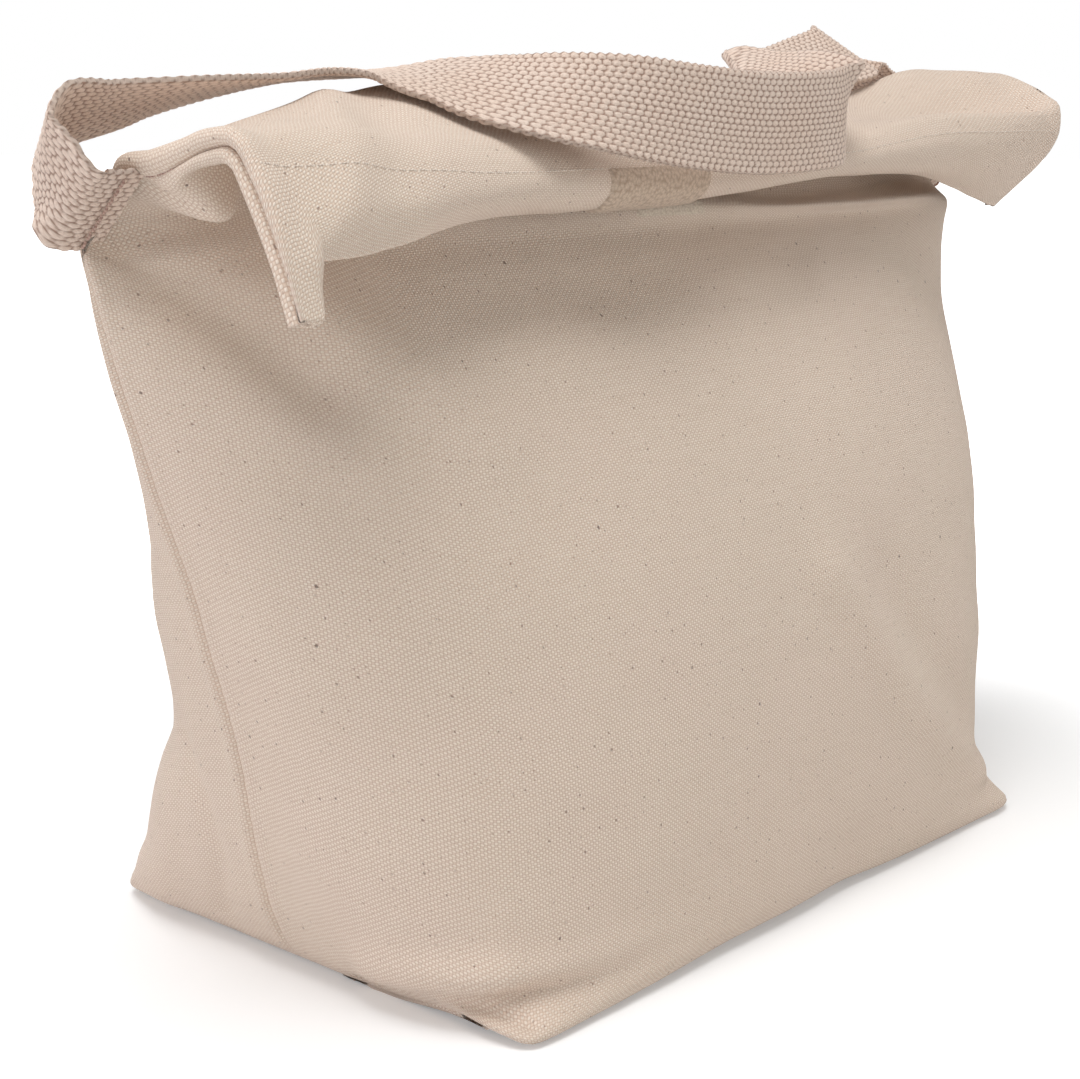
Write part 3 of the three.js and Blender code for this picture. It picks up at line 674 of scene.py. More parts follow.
def cloth_graph(name):
    """A new material's graph, with the places across and along the cloth in metres."""
    graph = Graph(bpy.data.materials.new(name))
    x = graph.node("SeparateXYZ", graph.set(graph.node("UVMap"), uv_map="cloth"))
    return graph, x, x.other(1)


THREAD_PITCH_ACROSS = 0.77 * MM
THREAD_PITCH_ALONG = 0.60 * MM
# Scale of the noise along a thread, and across the threads for their wander and their colours
ALONG_THREAD = 0.05
WANDER = 0.3
STREAK = 0.8


def plain_weave(graph, across, along):
    """Height of the crossings, streaks from thicker or darker threads, and which thread is on top."""
    u = graph.noise(across * ALONG_THREAD, along * WANDER) + across
    v = graph.noise(across * WANDER, along * ALONG_THREAD, z=3.0) + along
    crossing = graph.math("SINE", u * math.pi) * graph.math("SINE", v * math.pi)
    lift = graph.between(crossing, -0.6, 0.6)
    height = graph.math("ABSOLUTE", crossing) ** 0.6 * (lift * 0.62 + 0.38)
    streak_u = graph.noise(across * STREAK, along * ALONG_THREAD, z=7.0)
    streak_v = graph.noise(across * ALONG_THREAD, along * STREAK, z=11.0)
    streak = lift * (streak_u - streak_v) + streak_v
    return height * (streak * 0.5 + 0.75), streak, lift


# Ragged outline of the flecks: fineness and strength, and stretch of their cells along the cloth
FLECK_NOISE = 1300.0
FLECK_BEND = 1.6
FLECK_STRETCH = 1.25


def flecks(graph, x, y, cell, radius, share):
    """Small dark seed flecks, one or none in each cell, 0 beside them and 1 on them."""
    ragged = graph.noise(x, y, FLECK_NOISE, 1.0, z=5.0)
    bent = ragged * (FLECK_BEND * radius) + x
    distance = graph.cells(bent / cell, y / (FLECK_STRETCH * cell))
    pick = graph.node("SeparateColor", distance.other("Color"))
    edge = graph.between(pick, 1 - share, 1.0) * (radius / cell) - distance
    return graph.between(edge, 0.0, 0.5 * radius / cell)


CANVAS_THREADS = ((0.76, 0.63, 0.515), (0.83, 0.715, 0.60))
CANVAS_CLOUD = (0.80, 0.66, 0.56)
# Painted highlight: a lighter colour on the raised crossings, where the thread on top catches the light
CANVAS_RAISED_HIGHLIGHT = (0.90, 0.81, 0.71)
# Painted shade: a darker colour in the low places between the threads, where shade falls
CANVAS_GAP_SHADE = (0.58, 0.42, 0.32)
# Seed flecks: shift of their pattern in metres, cell and radius in mm, strength and colour
CANVAS_FLECKS = [
    (0.0, 2.8, 0.32, 0.42, (0.33, 0.20, 0.14)),
    (0.17, 4.8, 0.38, 0.62, (0.20, 0.11, 0.075)),
    (0.31, 24.0, 0.52, 0.75, (0.12, 0.065, 0.045)),
]
FLECK_SHARE = 0.6


def canvas_material():
    graph, x, y = cloth_graph("canvas")
    height, streak, lift = plain_weave(graph, x / THREAD_PITCH_ACROSS, y / THREAD_PITCH_ALONG)
    cloud = graph.noise(x, y, 22.0, z=0.7)
    color = graph.mix(graph.between(streak, 0.25, 0.75), *CANVAS_THREADS)
    color = graph.mix(graph.between(cloud, 0.35, 0.7) * 0.7, color, CANVAS_CLOUD)
    # Painted highlight: the colour turns lighter on the raised crossings of the thread on top
    color = graph.mix(lift * 0.5, color, CANVAS_RAISED_HIGHLIGHT)
    # Painted shade: the colour darkens towards the low places between the threads
    color = graph.mix(graph.between(height, 0.0, 0.5), CANVAS_GAP_SHADE, color)
    for shift, cell, radius, strength, dark in CANVAS_FLECKS:
        spots = flecks(graph, x + shift, y, cell * MM, radius * MM, FLECK_SHARE)
        color = graph.mix(spots * strength, color, dark)
    fuzz = graph.noise(x, y, 4200.0, 2.0, 0.7)
    normal = graph.bump(fuzz, 0.08 * MM, 0.5, Normal=graph.bump(height, 0.24 * MM, 0.8))
    return graph.finish(color, normal, height * -0.08 + 0.97, 0.12)


WEBBING_YARNS = ((0.66, 0.495, 0.40), (0.80, 0.665, 0.565))
WEBBING_CLOUD = (0.80, 0.69, 0.61)
# Painted shade: a dark colour in the low places between the webbing's grains
WEBBING_GAP_SHADE = (0.30, 0.185, 0.135)
WEBBING_FLECK = (0.22, 0.12, 0.08)


def webbing_material():
    graph, x, y = cloth_graph("webbing")
    grain_height = graph.set(graph.node("Attribute"), attribute_name="relief").other("Fac")
    yarn = graph.noise(x * 3.0, y, 1500.0, 2.0, 0.6)
    cloud = graph.noise(x, y, 60.0, 3.0)
    color = graph.mix(graph.between(yarn, 0.3, 0.7), *WEBBING_YARNS)
    color = graph.mix(graph.between(cloud, 0.3, 0.75) * 0.3, color, WEBBING_CLOUD)
    # Painted shade: the colour darkens where the grains are low, between them
    color = graph.mix(graph.between(grain_height, -0.1, 0.7), WEBBING_GAP_SHADE, color)
    color = graph.mix(flecks(graph, x, y, 9.0 * MM, 0.35 * MM, 0.4) * 0.45, color, WEBBING_FLECK)
    twist = graph.math("SINE", y * 9000.0 + x * 5200.0)
    return graph.finish(color, graph.bump(twist * 0.12 + yarn, 0.16 * MM, 0.8), 0.93, 0.15)


def patch_material(name, light, dark, pile):
    """Hook or loop tape: a fine pile of the given pitch over a woven ground."""
    graph, x, y = cloth_graph(name)
    tuft = graph.noise(x, y, 1800.0, 4.0, 0.75)
    mat = tuft * 0.8 + graph.cells(x, y, 1.0 / pile) * -0.5
    cloud = graph.noise(x, y, 120.0)
    color = graph.mix(cloud * 0.25, graph.mix(graph.between(mat, -0.1, 0.5), dark, light), light)
    return graph.finish(color, graph.bump(mat, 0.5 * MM, 0.9), 0.95, 0.25)


def thread_material(name, light, dark):
    """Twisted sewing thread."""
    graph, x, y = cloth_graph(name)
    twist = graph.math("SINE", y * 7000.0 + x * 3.0)
    fibre = graph.noise(x, y, 900.0, 3.0, 0.7)
    color = graph.mix(graph.between(twist * 0.25 + fibre, 0.2, 0.8), dark, light)
    return graph.finish(color, graph.bump(twist * 0.5 + fibre, 0.12 * MM, 0.8), 0.8, 0.1)


CANVAS = canvas_material()
WEBBING = webbing_material()
# The loop tape's light and dark colours are darker and browner than the tape itself: painted shade from the
# webbing above it
LOOP = patch_material("loop_tape", (0.72, 0.57, 0.44), (0.42, 0.29, 0.20), 1.1 * MM)
HOOK = patch_material("hook_tape", (0.86, 0.75, 0.62), (0.58, 0.46, 0.35), 0.8 * MM)
THREAD = thread_material("sewing_thread", (0.86, 0.77, 0.68), (0.60, 0.48, 0.40))
# The seam thread's dark brown is partly the thread's own colour and partly painted shade of the grooves and
# folds it is sewn into
SEAM_THREAD = thread_material("seam_thread", (0.55, 0.38, 0.31), (0.34, 0.21, 0.17))


# Cloth pieces

# Where the cloth bends: its two bodies, and start and end points of the bend in metres
FLAP_BEND = ("bag", "flap", (0, -0.06714, 0.18032), (0, -0.07131, 0.19153))
BAND_BEND = ("flap", "mouth_band", (0, 0.085, 0.085), (0, 0.07643, 0.07643))
HEM_THICKNESS = 2.2
HEM_FROM = 3.0
# Beside the sewn ends the cloth is thinner: thickness, up to which distance, and over which it grows
LOBE_CLOTH = 1.0
LOBE_CLOTH_EDGE = (5.0, 4.0)
# Puffed side seams: height, middle and width of the swelling, and depth and width of the groove
SEAM_PUFF = (0.6, 2.6, 1.7)
SEAM_GROOVE = (0.7, 0.8)
# Cloth below this height lies on the floor and faces down
ON_FLOOR = 0.01


class Cloth:
    """One panel of the bag, on fine rows from the bottom seam to the mouth. A row lies exactly at the knot
    where the flap's cloth is divided from the wall's."""

    def __init__(self, knots, split, facing, hem_knot):
        self.params = from_start(length(np.diff(knots, axis=0)).mean(axis=1))
        middle, last = self.params[split], self.params[-1]
        self.rows = np.concatenate([fine_rows(0, middle), fine_rows(middle, last)[1:]])
        self.grid = hermite(knots, self.params, self.rows)
        self.split = int(np.searchsorted(self.rows, middle))
        self.facing = facing
        self.hem_start = self.params[hem_knot]

    def seam_strength(self):
        """The side seams' puffy edges fade in above the floor, and out where the lobes take over."""
        knot = np.interp(self.rows, self.params, np.arange(len(self.params)))
        return ease((knot - len(BASE_KNOTS) - 1) / 3.0) * (1 - ease((knot - WALL_KNOTS + 2) / 2.0))

    def settle(self):
        """Adds relief, unevenness and puffed seams. Finds the normals, flat places and thickness."""
        normals = grid_normals(self.grid) * self.facing
        self.grid = relief(self.grid, normals)
        e = end_distance(COLUMNS)[None, :]
        fade = ease((e - RUMPLE_EDGE[0]) / RUMPLE_EDGE[1])
        self.grid = rumple(self.grid, normals, RUMPLE * fade * ease(self.grid[..., 2] / RUMPLE_FROM_FLOOR))
        puff, middle, width = SEAM_PUFF
        rise = puff * bell(e - middle, width) - SEAM_GROOVE[0] * bell(e, SEAM_GROOVE[1])
        self.grid = self.grid + normals * (rise * self.seam_strength()[:, None])[..., None]
        self.grid[..., 2] = np.maximum(self.grid[..., 2], 0)
        self.normals = grid_normals(self.grid) * self.facing
        self.normals[self.grid[..., 2] < ON_FLOOR] = (0, 0, -1)
        self.uv = cloth_uv(self.grid)
        hem = CLOTH + (HEM_THICKNESS - CLOTH) * ease((self.rows - self.hem_start) / HEM_FROM)[:, None]
        share = ease((e - LOBE_CLOTH_EDGE[0]) / LOBE_CLOTH_EDGE[1])
        self.thickness = LOBE_CLOTH + (hem - LOBE_CLOTH) * share

    def piece(self, name, upper):
        part = slice(self.split, None) if upper else slice(0, self.split + 1)
        return shell(name, self.grid[part], self.normals[part], self.uv[part], CANVAS,
                     self.thickness[part], upper)

    def sample(self, places, u):
        """Points and normals at knot places (rows) and places u (columns)."""
        knot = np.interp(places, np.arange(len(self.params)), self.params)
        row = np.interp(knot, self.rows, np.arange(len(self.rows)))
        column = np.interp(u, COLUMNS, np.arange(len(COLUMNS)))
        r0 = np.clip(row.astype(int), 0, len(self.rows) - 2)
        c0 = np.clip(column.astype(int), 0, len(COLUMNS) - 2)
        fr = (row - r0)[:, None, None]
        fc = (column - c0)[None, :, None]

        def read(table):
            low, high = (table[r][:, c0] * (1 - fc) + table[r][:, c0 + 1] * fc for r in (r0, r0 + 1))
            return low * (1 - fr) + high * fr

        return read(self.grid), unit(read(self.normals))


back = Cloth(back_knots(COLUMNS), BACK_SPLIT, -1, BAND_TOP)
front = Cloth(front_knots(COLUMNS), FRONT_SPLIT, 1, INNER_BAND_TOP)
for column in (0, -1):
    close_seam(front.grid, back.grid[:, column], column)
back.settle()
front.settle()


def settled(piece, slot, bodies, *nodes):
    """Hides the nodes that a piece stands for, and attaches it to the body that it rides on; a piece given
    a bend only has its transform baked. The slot is not used.
    """
    if nodes:
        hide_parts(*nodes)
    if isinstance(bodies, str):
        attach(piece, bodies)
    else:
        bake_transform(piece)


settled(front.piece("front_cloth", False), "canvas", FLAP_BEND, "front_panel", "front_fold")
settled(back.piece("back_cloth", False), "canvas", FLAP_BEND, "back_panel", "back_fold")
settled(front.piece("inner_top_cloth", True), "canvas", BAND_BEND, "flap_inner", "mouth_band_inner")
settled(back.piece("outer_top_cloth", True), "canvas", BAND_BEND, "flap_outer", "front_rim",
        "mouth_band_outer")


# Handle

STRAP_WIDTH = 25.4
STRAP_THICKNESS = 2.0
STRAP_TOP = 203.0
STRAP_SLOPE = (0, 0.73, -0.68)
# Middle line of the webbing, with heights above STRAP_TOP, and the direction across it
STRAP_BEFORE_FOLD = [
    ((-176.5, -8, -8.5), STRAP_SLOPE),
    ((-180, -6.9, -7.5), (0, 0.73, -0.68)),
    ((-182, -4, -2), (0.18, 0.54, -0.82)),
    ((-182, 0.5, 3.5), (0.22, 0.52, -0.83)),
    ((-178, 3.5, 9.2), (0.05, 0.68, -0.73)),
    ((-167, 3.5, 12), (0, 0.84, -0.54)),
    ((-152, -1, 14.8), (0, 0.93, -0.36)),
    ((-127, -2.5, 18), (0, 0.985, -0.15)),
    ((-110, -4, 20.2), (0.03, 0.995, -0.08)),
    ((-97, -12, 20.4), (0.15, 0.985, 0.05)),
    ((-88, -26, 19.3), (0.3, 0.88, 0.35)),
    ((-80, -41, 16.5), (0.28, 0.72, 0.63)),
    ((-68, -52, 14.5), (0.18, 0.5, 0.85)),
    ((-52, -57.5, 12.5), (0.1, 0.25, 0.96)),
    ((-30, -60, 10), (-0.03, 0.1, 0.99)),
    ((-5, -61, 8.5), (0, 0, 1)),
    ((20, -60.5, 9), (0, 0, 1)),
    ((32.5, -58, 10), (0.12, 0.05, 0.99)),
    ((40, -53, 12.5), (0.3, 0.1, 0.95)),
    ((41.5, -46, 15.7), (0.5, 0.05, 0.86)),
    ((42, -38, 18.4), (0.68, 0.02, 0.73)),
    ((43, -28, 20.4), (0.88, 0, 0.47)),
]
STRAP_AFTER_FOLD = [
    ((62, -10.5, 21.4), (-0.06, 0.93, 0.36)),
    ((74, -6, 22.2), (0, 0.92, 0.39)),
    ((87, -4.5, 23.4), (0, 0.89, 0.45)),
    ((102, -4, 25.8), (0, 0.83, 0.56)),
    ((115, -3.6, 28.2), (0, 0.8, 0.6)),
    ((120.5, -0.4, 29.3), (0, 0.88, 0.47)),
    ((124.5, 2.5, 27.6), (0, 1, 0.04)),
    ((129.5, 4, 23.4), (0, 0.95, -0.31)),
    ((136, 4.5, 19), (0, 0.93, -0.37)),
    ((144, 4, 16.2), (0, 0.93, -0.37)),
    ((156, 3.5, 14.4), (0, 0.93, -0.37)),
    ((168, 3, 12.8), (0, 0.95, -0.31)),
    ((178, 4, 10.5), (-0.05, 0.82, -0.57)),
    ((184.5, 0.5, 6), (-0.22, 0.52, -0.83)),
    ((184.5, -4, -0.5), (-0.18, 0.54, -0.82)),
    ((181.5, -6.6, -7), (0, 0.73, -0.68)),
    ((176.5, -8, -8.5), STRAP_SLOPE),
]
# The diagonal fold: its start, and the directions along and across the webbing there. The skew is how far
# the fold's line runs along the webbing for each mm across it.
FOLD_AT = (45, -18, 21.6)
FOLD_ALONG = (0, 1, 0.1)
FOLD_ACROSS = (0.92, -0.04, 0.39)
FOLD_SKEW = 1.2
FOLD_ANGLE = math.radians(150)
FOLD_RADIUS = 1.8
FOLD_STEPS = 3


def fold_stops():
    """Stops of the webbing round its diagonal fold."""
    along = unit(np.array(FOLD_ALONG, float))
    across_it = np.array(FOLD_ACROSS, float)
    across_it = unit(across_it - along * (across_it @ along))
    axis = unit(across_it + FOLD_SKEW * along)
    forward = unit(along - axis * (along @ axis))
    up = np.cross(axis, forward)
    stops = []
    for turned in np.linspace(0, FOLD_ANGLE, FOLD_STEPS + 1):
        place = (np.array(FOLD_AT) + forward * FOLD_RADIUS * math.sin(turned)
                 - up * FOLD_RADIUS * (1 - math.cos(turned)) + axis * FOLD_SKEW * FOLD_RADIUS * turned)
        stops.append((tuple(place), tuple(axis)))
    return stops


STRAP_ROUTE = STRAP_BEFORE_FOLD + fold_stops() + STRAP_AFTER_FOLD
STRAP_SKEW = ([0.0] * (len(STRAP_BEFORE_FOLD) - 1) + [0.5] + [1.0] * (FOLD_STEPS + 1) + [0.5]
              + [0.0] * (len(STRAP_AFTER_FOLD) - 1))
# Stops at which the webbing is divided
LEFT_TURN = 2
RIGHT_TURN = len(STRAP_ROUTE) - 3
STRAP_STEP = 0.42
STRAP_COLUMNS = 71
STRAP_BURIED = 7.0
STRAP_FINE = 6000
# Half the step of the route over which the direction ahead is taken
AHEAD_STEP = 0.02
# Selvedges: width of their rounding, their share of the thickness, and their scalloped outline
SELVEDGE = 0.8
SELVEDGE_THICKNESS = 0.55
SCALLOP = 0.22
SCALLOP_POWER = 9
# Keeps the two faces' colours from being alike
BACK_FACE_SHIFT = 40
# Length, pitch across and height of the grains
GRAIN_ALONG = 2.6
GRAIN_ACROSS = 1.46
GRAIN_HEIGHT = 0.36
# Drift of the rows of grains along the webbing: size, change per row and length
GRAIN_DRIFT = (0.10, 2.1, 23.0)


def strap_line():
    """Stations along the webbing, its ends buried in the seams: distance, middle, directions ahead and
    across, skew, and the rows where it is divided."""
    stops = np.array([(x, y, z + STRAP_TOP) for (x, y, z), _ in STRAP_ROUTE])
    sides = np.array([side for _, side in STRAP_ROUTE], float)
    stops[[0, -1], 0] += [STRAP_BURIED, -STRAP_BURIED]
    params = from_start(np.sqrt(length(np.diff(stops, axis=0))))
    fine = np.linspace(0, params[-1], STRAP_FINE)
    run = distances(hermite(stops, params, fine))
    s = np.linspace(0, run[-1], int(round(run[-1] / STRAP_STEP)) + 1)
    at = np.interp(s, run, fine)
    ahead = unit(hermite(stops, params, np.minimum(at + AHEAD_STEP, params[-1]))
                 - hermite(stops, params, np.maximum(at - AHEAD_STEP, 0)))
    side = hermite(sides, params, at)
    side = unit(side - ahead * (side * ahead).sum(axis=-1, keepdims=True))
    skew = FOLD_SKEW * np.interp(at, params, STRAP_SKEW)
    cuts = [int(np.searchsorted(at, params[k])) for k in (LEFT_TURN, RIGHT_TURN)]
    return s, hermite(stops, params, at), ahead, side, skew, cuts


def grain(s, w):
    """Height of the webbing's staggered grains, 0 to 1, at distance s along and w across."""
    row = np.floor(w / GRAIN_ACROSS + 0.5)
    in_row = w / GRAIN_ACROSS - row
    drift, per_row, over = GRAIN_DRIFT
    phase = s / GRAIN_ALONG + 0.5 * (row % 2) + drift * np.sin(row * per_row + s / over)
    in_grain = phase - np.floor(phase + 0.5)
    d = (np.abs(in_row) * 1.8) ** 2.2 + (np.abs(in_grain) * 2.0) ** 2.0
    return np.clip(1 - d, 0, 1) ** 0.7


def strap_rings():
    """Rings of points round the webbing, their normals, grain heights and places on the cloth."""
    s, middle, ahead, side, skew, cuts = strap_line()
    out = np.cross(ahead, side)
    ruling = side + ahead * skew[:, None]
    half_width = STRAP_WIDTH / 2
    w = np.linspace(-half_width, half_width, STRAP_COLUMNS)
    on_cloth = s[:, None] + skew[:, None] * w[None, :]
    edge = np.clip((half_width - np.abs(w)) / SELVEDGE, 0, 1) ** 0.5
    outline = STRAP_THICKNESS / 2 * (SELVEDGE_THICKNESS + (1 - SELVEDGE_THICKNESS) * edge)
    scallop = SCALLOP * np.cos(2 * math.pi * on_cloth / GRAIN_ALONG) * (w / half_width) ** SCALLOP_POWER
    across_it = ruling[:, None] * (w + scallop)[..., None]
    parts = []
    for face, order, shift in ((1, slice(None), 0), (-1, slice(None, None, -1), 1)):
        height = grain(on_cloth + shift * GRAIN_ALONG / 2, w[None, :])
        level = face * (outline - GRAIN_HEIGHT * (1 - height) * edge)
        points = middle[:, None] + across_it + out[:, None] * level[..., None]
        u = np.broadcast_to(w, level.shape) + shift * BACK_FACE_SHIFT
        uv = np.stack([u, on_cloth], axis=-1) * MM
        parts.append([part[:, order] for part in (points, height, uv)])
    ring, height, uv = (np.concatenate(part, axis=1) for part in zip(*parts))
    round_it = np.roll(ring, -1, axis=1) - np.roll(ring, 1, axis=1)
    normals = unit(np.cross(round_it, np.gradient(ring, axis=0)))
    return ring, normals, height, uv, cuts


def strap_piece(name, rings, first, last, bodies, *nodes):
    ring, normals, height, uv = (part[first:last + 1] for part in rings)
    piece = ring_object(name, ring, normals, uv, WEBBING, False)
    attribute = piece.data.attributes.new("relief", "FLOAT", "POINT")
    attribute.data.foreach_set("value", height.reshape(-1).astype(np.float32))
    settled(piece, "webbing", bodies, *nodes)


# Where the bend of the webbing's ends starts, in metres
STRAP_BEND_FROM = 0.176


def strap_bend(turn, hand):
    """The bend of an end of the webbing, from its seam to where it turns."""
    return "bag", "handle", (hand * STRAP_BEND_FROM, 0, 0), (STRAP_ROUTE[turn][0][0] * MM, 0, 0)


*strap, (left_cut, right_cut) = strap_rings()
strap_piece("handle_left_end", strap, 0, left_cut, strap_bend(LEFT_TURN, -1))
strap_piece("handle_loop", strap, left_cut, right_cut, "handle", "handle")
strap_piece("handle_right_end", strap, right_cut, len(strap[0]) - 1, strap_bend(RIGHT_TURN, 1))


# Sewing: seam edges inside, seams on the base, thread lines and patches

SIDES = {"left": -1, "right": 1}
SEAM_THICKNESS = 1.2
SEAM_STEP = 1.5
SEAM_COLUMNS = 7


def seam_edges(name, node, line, width_direction, up, width, wave=0.0):
    """The turned edges of a seam inside the bag: a narrow strip of cloth along a line, slightly uneven."""
    line = np.array(line, float)
    run = distances(line)
    s = np.linspace(0, run[-1], max(3, int(run[-1] / SEAM_STEP)))
    w = np.linspace(-0.5, 0.5, SEAM_COLUMNS)
    uneven = 1 + 0.05 * np.sin(s / 5.3) + 0.03 * np.sin(s / 1.9)
    lift = wave * np.sin(s / 9.0)[:, None] * (w + 0.5)[None, :]
    grid = (read_line(line, run, s)[:, None] + lift[..., None] * np.array(up, float)
            + (w[None, :] * width * uneven[:, None])[..., None] * np.array(width_direction, float))
    normals = grid_normals(grid)
    if normals[1, SEAM_COLUMNS // 2] @ up < 0:
        grid = grid[:, ::-1]
        normals = grid_normals(grid)
    settled(shell(name, grid, normals, cloth_uv(grid), CANVAS, SEAM_THICKNESS), "canvas", "bag", node)


THREAD_SIDES = 6
# Threads taper to this share at both ends, and none runs along the direction after it
THREAD_TAPER = 0.35
NOT_ALONG = (0.31, 0.27, 0.91)


def threads(name, paths, radius, material, bodies, node):
    """Round threads along several paths, joined in one piece, each with closed rounded ends."""
    vertices, faces, uvs = [], [], []
    turns = 2 * math.pi * np.arange(THREAD_SIDES) / THREAD_SIDES
    for path in paths:
        path = np.array(path, float)
        ahead = unit(np.gradient(path, axis=0))
        side = unit(np.cross(ahead, NOT_ALONG))
        out = np.cross(ahead, side)
        s = distances(path)
        grow = radius * np.clip(np.minimum(s, s[-1] - s) / radius, THREAD_TAPER, 1) ** 0.5
        first = len(vertices)
        for k in range(len(path)):
            vertices += [path[k] + (side[k] * math.cos(t) + out[k] * math.sin(t)) * grow[k] for t in turns]
            uvs += [(t / (2 * math.pi) * radius * MM, s[k] * MM) for t in turns]
        faces += (ring_faces(len(path), THREAD_SIDES, False) + first).tolist()
        faces.append(list(range(first, first + THREAD_SIDES)))
        faces.append(list(range(len(vertices) - 1, len(vertices) - 1 - THREAD_SIDES, -1)))
    settled(new_object(name, vertices, faces, uvs, material), "thread", bodies, node)


STITCH_POINTS = 7
# Share of its rise by which a stitch's ends lie below its line
STITCH_SUNK = 0.6


def stitches(line, size, gap, lift):
    """Short stitches along a line of points: each dips into the cloth at both ends."""
    line = np.array(line, float)
    s = distances(line)
    lift = np.broadcast_to(np.asarray(lift, float), line.shape)
    rise = np.sin(np.linspace(0, math.pi, STITCH_POINTS)) ** 0.6 - STITCH_SUNK
    paths = []
    start = gap
    while start + size < s[-1]:
        at = np.linspace(start, start + size, STITCH_POINTS)
        paths.append(read_line(line, s, at) + read_line(lift, s, at) * rise[:, None])
        start += size + gap
    return paths


SIDE_EDGE = 8.0
SIDE_EDGE_GAP = 2.2
SIDE_EDGE_WAVE = 1.5
SIDE_EDGE_Y = 0.5
SEAM_HEIGHTS = np.linspace(5.0, 172.0, 40)
BASE_SEAM_WIDTH = 10.0
BASE_SEAM_Z = 2.4
CORNER_SEAM_GAP = 3.5
CORNER_SEAM_END = 50
BOTTOM_SEAM_GAP = 4.5

for side_name, hand in SIDES.items():
    inside = hermite(HALF_WIDTH, WALL_Z, SEAM_HEIGHTS) - SIDE_EDGE_GAP - SIDE_EDGE / 2
    line = [(hand * x, SIDE_EDGE_Y, z) for x, z in zip(inside, SEAM_HEIGHTS)]
    seam_edges(f"{side_name}_seam_edges", f"{side_name}_side_seam", line, (1, 0, 0), (0, 1, 0), SIDE_EDGE,
               SIDE_EDGE_WAVE)
    x = hand * (HALF_WIDTH[0] - BASE_SEAM_WIDTH / 2 - CORNER_SEAM_GAP)
    line = [(x, -CORNER_SEAM_END, BASE_SEAM_Z), (x, CORNER_SEAM_END, BASE_SEAM_Z)]
    seam_edges(f"{side_name}_corner_seam_edges", f"{side_name}_corner_seam", line, (1, 0, 0), (0, 0, 1),
               BASE_SEAM_WIDTH)

reach = HALF_WIDTH[0] - BASE_SEAM_WIDTH - BOTTOM_SEAM_GAP
seam_edges("bottom_seam_edges", "bottom_seam", [(-reach, 0, BASE_SEAM_Z), (reach, 0, BASE_SEAM_Z)],
           (0, 1, 0), (0, 0, 1), BASE_SEAM_WIDTH)

# Thread in the groove of the flap's and the band's closed ends: stitch and gap, radius, and how far its
# line and the stitches stand out
GROOVE_STITCH = (3.0, 0.6)
GROOVE_THREAD = 0.2
GROOVE_OUT = 0.15
GROOVE_LIFT = 0.25
GROOVE_POINTS = 60

for side_name, hand in SIDES.items():
    for part, first, last, bend in (("flap", WALL_KNOTS + 1, BAND_TOP, FLAP_BEND),
                                    ("band", BAND_TOP, BAND_TOP + len(BAND[0]) - 1, BAND_BEND)):
        points, _ = back.sample(np.linspace(first, last, GROOVE_POINTS), np.array([hand]))
        line = points[:, 0] + [hand * GROOVE_OUT, 0, 0]
        paths = stitches(line, *GROOVE_STITCH, (hand * GROOVE_LIFT, 0, 0))
        node = f"{part}_{side_name}_seam"
        threads(f"{node}_thread", paths, GROOVE_THREAD, SEAM_THREAD, bend, node)

# Hem stitches across the band
HEM_LINE = BAND_TOP + 0.3
HEM_END = 1 - 6.0 / FOLD_END
HEM_POINTS = 260
HEM_STITCH = (2.6, 0.5)
HEM_THREAD = 0.16
HEM_LIFT = 0.2

hem_points, hem_out = back.sample(np.array([HEM_LINE]), np.linspace(-HEM_END, HEM_END, HEM_POINTS))
threads("hem_stitches", stitches(hem_points[0], *HEM_STITCH, hem_out[0] * HEM_LIFT), HEM_THREAD, THREAD,
        BAND_BEND, "hem_stitching")

# Loop patch on the band and hook patch on the front wall: middle, width and columns across, and places and
# rows along, in knots for the loop patch and in height for the hook patch
LOOP_ACROSS = (-33.0, 40.0, 70)
LOOP_ALONG = (BAND_TOP + 0.25, BAND_TOP + 3.8, 34)
HOOK_ACROSS = (-5.0, 28.0, 44)
HOOK_ALONG = (187.0, 203.0, 26)
PATCH_THICKNESS = 0.9
PATCH_SHEET = 0.5
PATCH_RIM = 3.0


def patch(name, cloth, places, across_it, material, bodies):
    """Hook or loop tape over a cloth: thin at its sewn border, full inside."""
    middle, width, columns = across_it
    u = np.linspace(middle - width / 2, middle + width / 2, columns) / FOLD_END
    points, out = cloth.sample(places, u)
    rows, columns = (np.minimum(np.arange(n), np.arange(n)[::-1]) for n in points.shape[:2])
    pillow = np.clip(np.minimum(rows[:, None], columns[None, :]) / PATCH_RIM, 0, 1) ** 0.5
    grid = points + out * (PATCH_THICKNESS * pillow)[..., None]
    piece = shell(f"{name}_tape", grid, out, cloth_uv(grid), material, PATCH_SHEET)
    settled(piece, "patch", bodies, name)


patch("loop_patch", back, np.linspace(*LOOP_ALONG), LOOP_ACROSS, LOOP, BAND_BEND)

# Knots of the front wall by height, at its middle
knot_heights = WALL_KNOT_Z + [table[4][1] for table in (FRONT_EDGE, FRONT_NECK, CREASE)]
knot_places = len(BASE_KNOTS) + 1 + np.arange(len(knot_heights))
low, high = np.interp(HOOK_ALONG[:2], knot_heights, knot_places)
patch("hook_patch", front, np.linspace(low, high, HOOK_ALONG[2]), HOOK_ACROSS, HOOK, "bag")

# Stitching where the handle enters the side seams: place along x, distance from the webbing's middle,
# stitch and gap, radius, and lift as a share of that distance
SEWN_X = 174.6
SEWN_OUT = 1.25
SEWN_POINTS = 30
SEWN_STITCH = (2.3, 0.5)
SEWN_THREAD = 0.34
SEWN_LIFT = 0.4

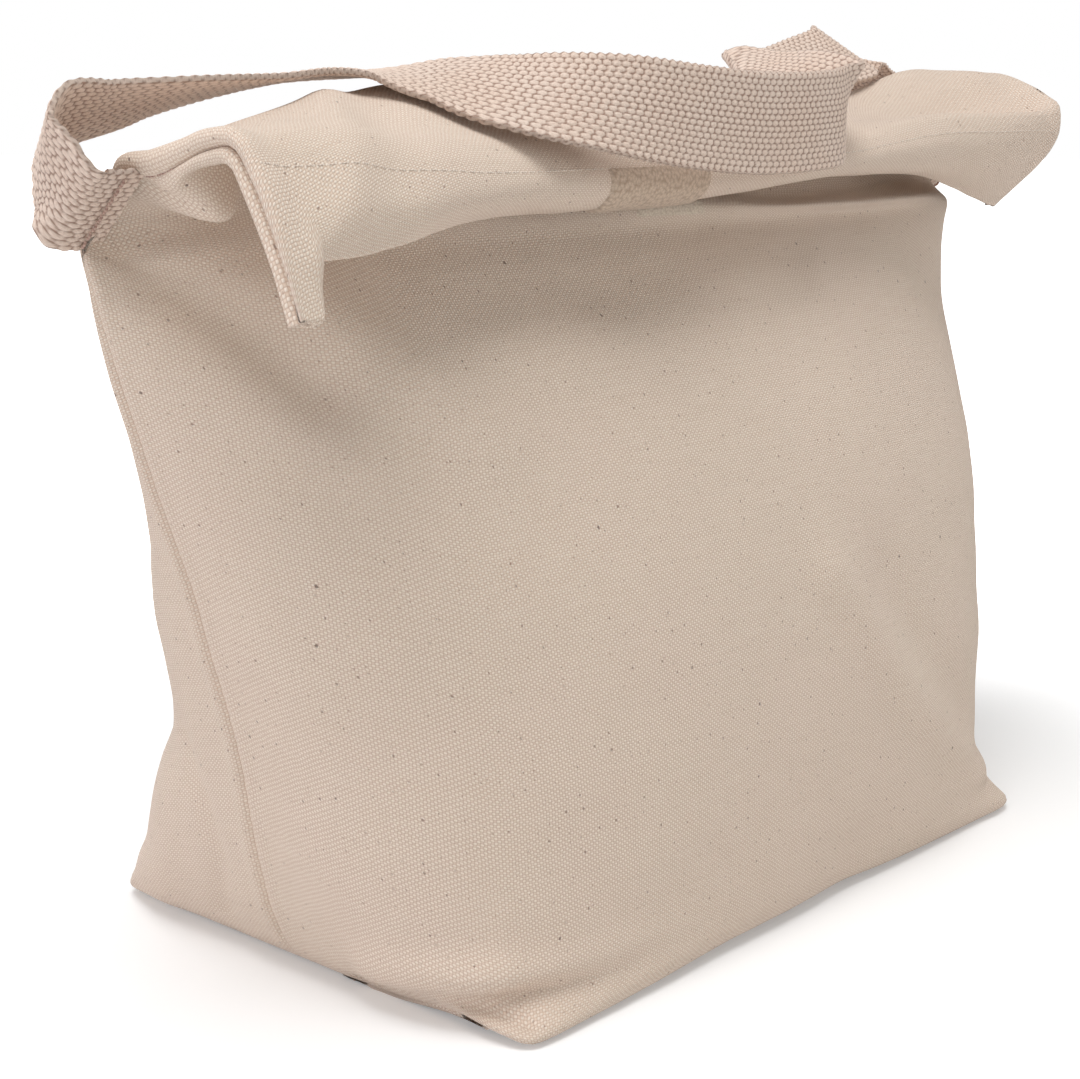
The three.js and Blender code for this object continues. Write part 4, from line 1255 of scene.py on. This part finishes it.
for side_name, hand in SIDES.items():
    (_, y, z), slope = STRAP_ROUTE[0]
    w = np.linspace(-STRAP_WIDTH / 2 + 1, STRAP_WIDTH / 2 - 1, SEWN_POINTS)
    out = np.cross((-1, 0, 0), slope) * SEWN_OUT
    line = np.array([hand * SEWN_X, y, z + STRAP_TOP]) + np.array(slope) * w[:, None] + out
    threads(f"handle_{side_name}_stitches", stitches(line, *SEWN_STITCH, out * SEWN_LIFT), SEWN_THREAD,
            SEAM_THREAD, "bag", f"handle_{side_name}_stitching")


# Floor, light and picture

FLOOR_COLOR = (0.86, 0.86, 0.86)
FLOOR_REACH = 6.0
FLOOR_Z = -0.0006
FLOOR_LIFT = 0.22
# Seen by the camera the floor turns pure white away from the bag, between these distances in metres
WHITE_FROM = 0.16
WHITE_AT = 0.42
WORLD_LEVEL = 0.35
# Disk lamps: name, place, the point that it shines at, size, power and colour
LAMPS = [
    ("top", (-0.4, -0.15, 1.5), (0, 0, 0.1), 1.0, 15.5, (1, 1, 1)),
    ("left", (-1.5, 0.5, 0.3), (0, 0, 0.08), 1.2, 9.5, (0.98, 0.95, 1)),
    ("front", (0.7, -1.6, 0.15), (0, 0, 0.06), 1.4, 9.0, (1, 0.99, 0.95)),
]


def make_floor():
    graph = Graph(bpy.data.materials.new("floor"))
    place = graph.node("TexCoord").other("Object")
    far = graph.set(graph.node("VectorMath", place), operation="LENGTH").other("Value")
    lift = graph.between(far, WHITE_FROM, WHITE_AT) + FLOOR_LIFT
    glow = graph.node("Emission", Strength=graph.node("LightPath").other("Is Camera Ray") * lift)
    diffuse = graph.node("BsdfDiffuse", FLOOR_COLOR)
    graph.node("OutputMaterial", Surface=graph.node("AddShader", diffuse, glow))
    mesh = bpy.data.meshes.new("floor")
    corners = [(x * FLOOR_REACH, y * FLOOR_REACH, 0) for x, y in ((-1, -1), (1, -1), (1, 1), (-1, 1))]
    mesh.from_pydata(corners, [], [(0, 1, 2, 3)])
    mesh.materials.append(graph.owner)
    floor = add_object("floor", mesh)
    floor.location.z = FLOOR_Z
    floor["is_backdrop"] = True


def make_world():
    graph = Graph(bpy.data.worlds.new("studio"))
    bpy.context.scene.world = graph.owner
    light = graph.node("Background", (1, 1, 1), WORLD_LEVEL)
    white = graph.node("Background", (1, 1, 1))
    seen = graph.node("LightPath").other("Is Camera Ray")
    graph.node("OutputWorld", Surface=graph.node("MixShader", seen, light, white))


def make_lamp(name, place, target, size, power, color):
    data = bpy.data.lights.new(name, "AREA")
    data.shape = "DISK"
    data.size = size
    data.energy = power
    data.color = color
    lamp = add_object(name, data)
    lamp.location = place
    aim(lamp, Vector(target) - Vector(place))
    lamp.visible_camera = False


make_floor()
make_world()
for lamp in LAMPS:
    make_lamp(*lamp)
bpy.context.scene.view_settings.view_transform = "Standard"

low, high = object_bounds()
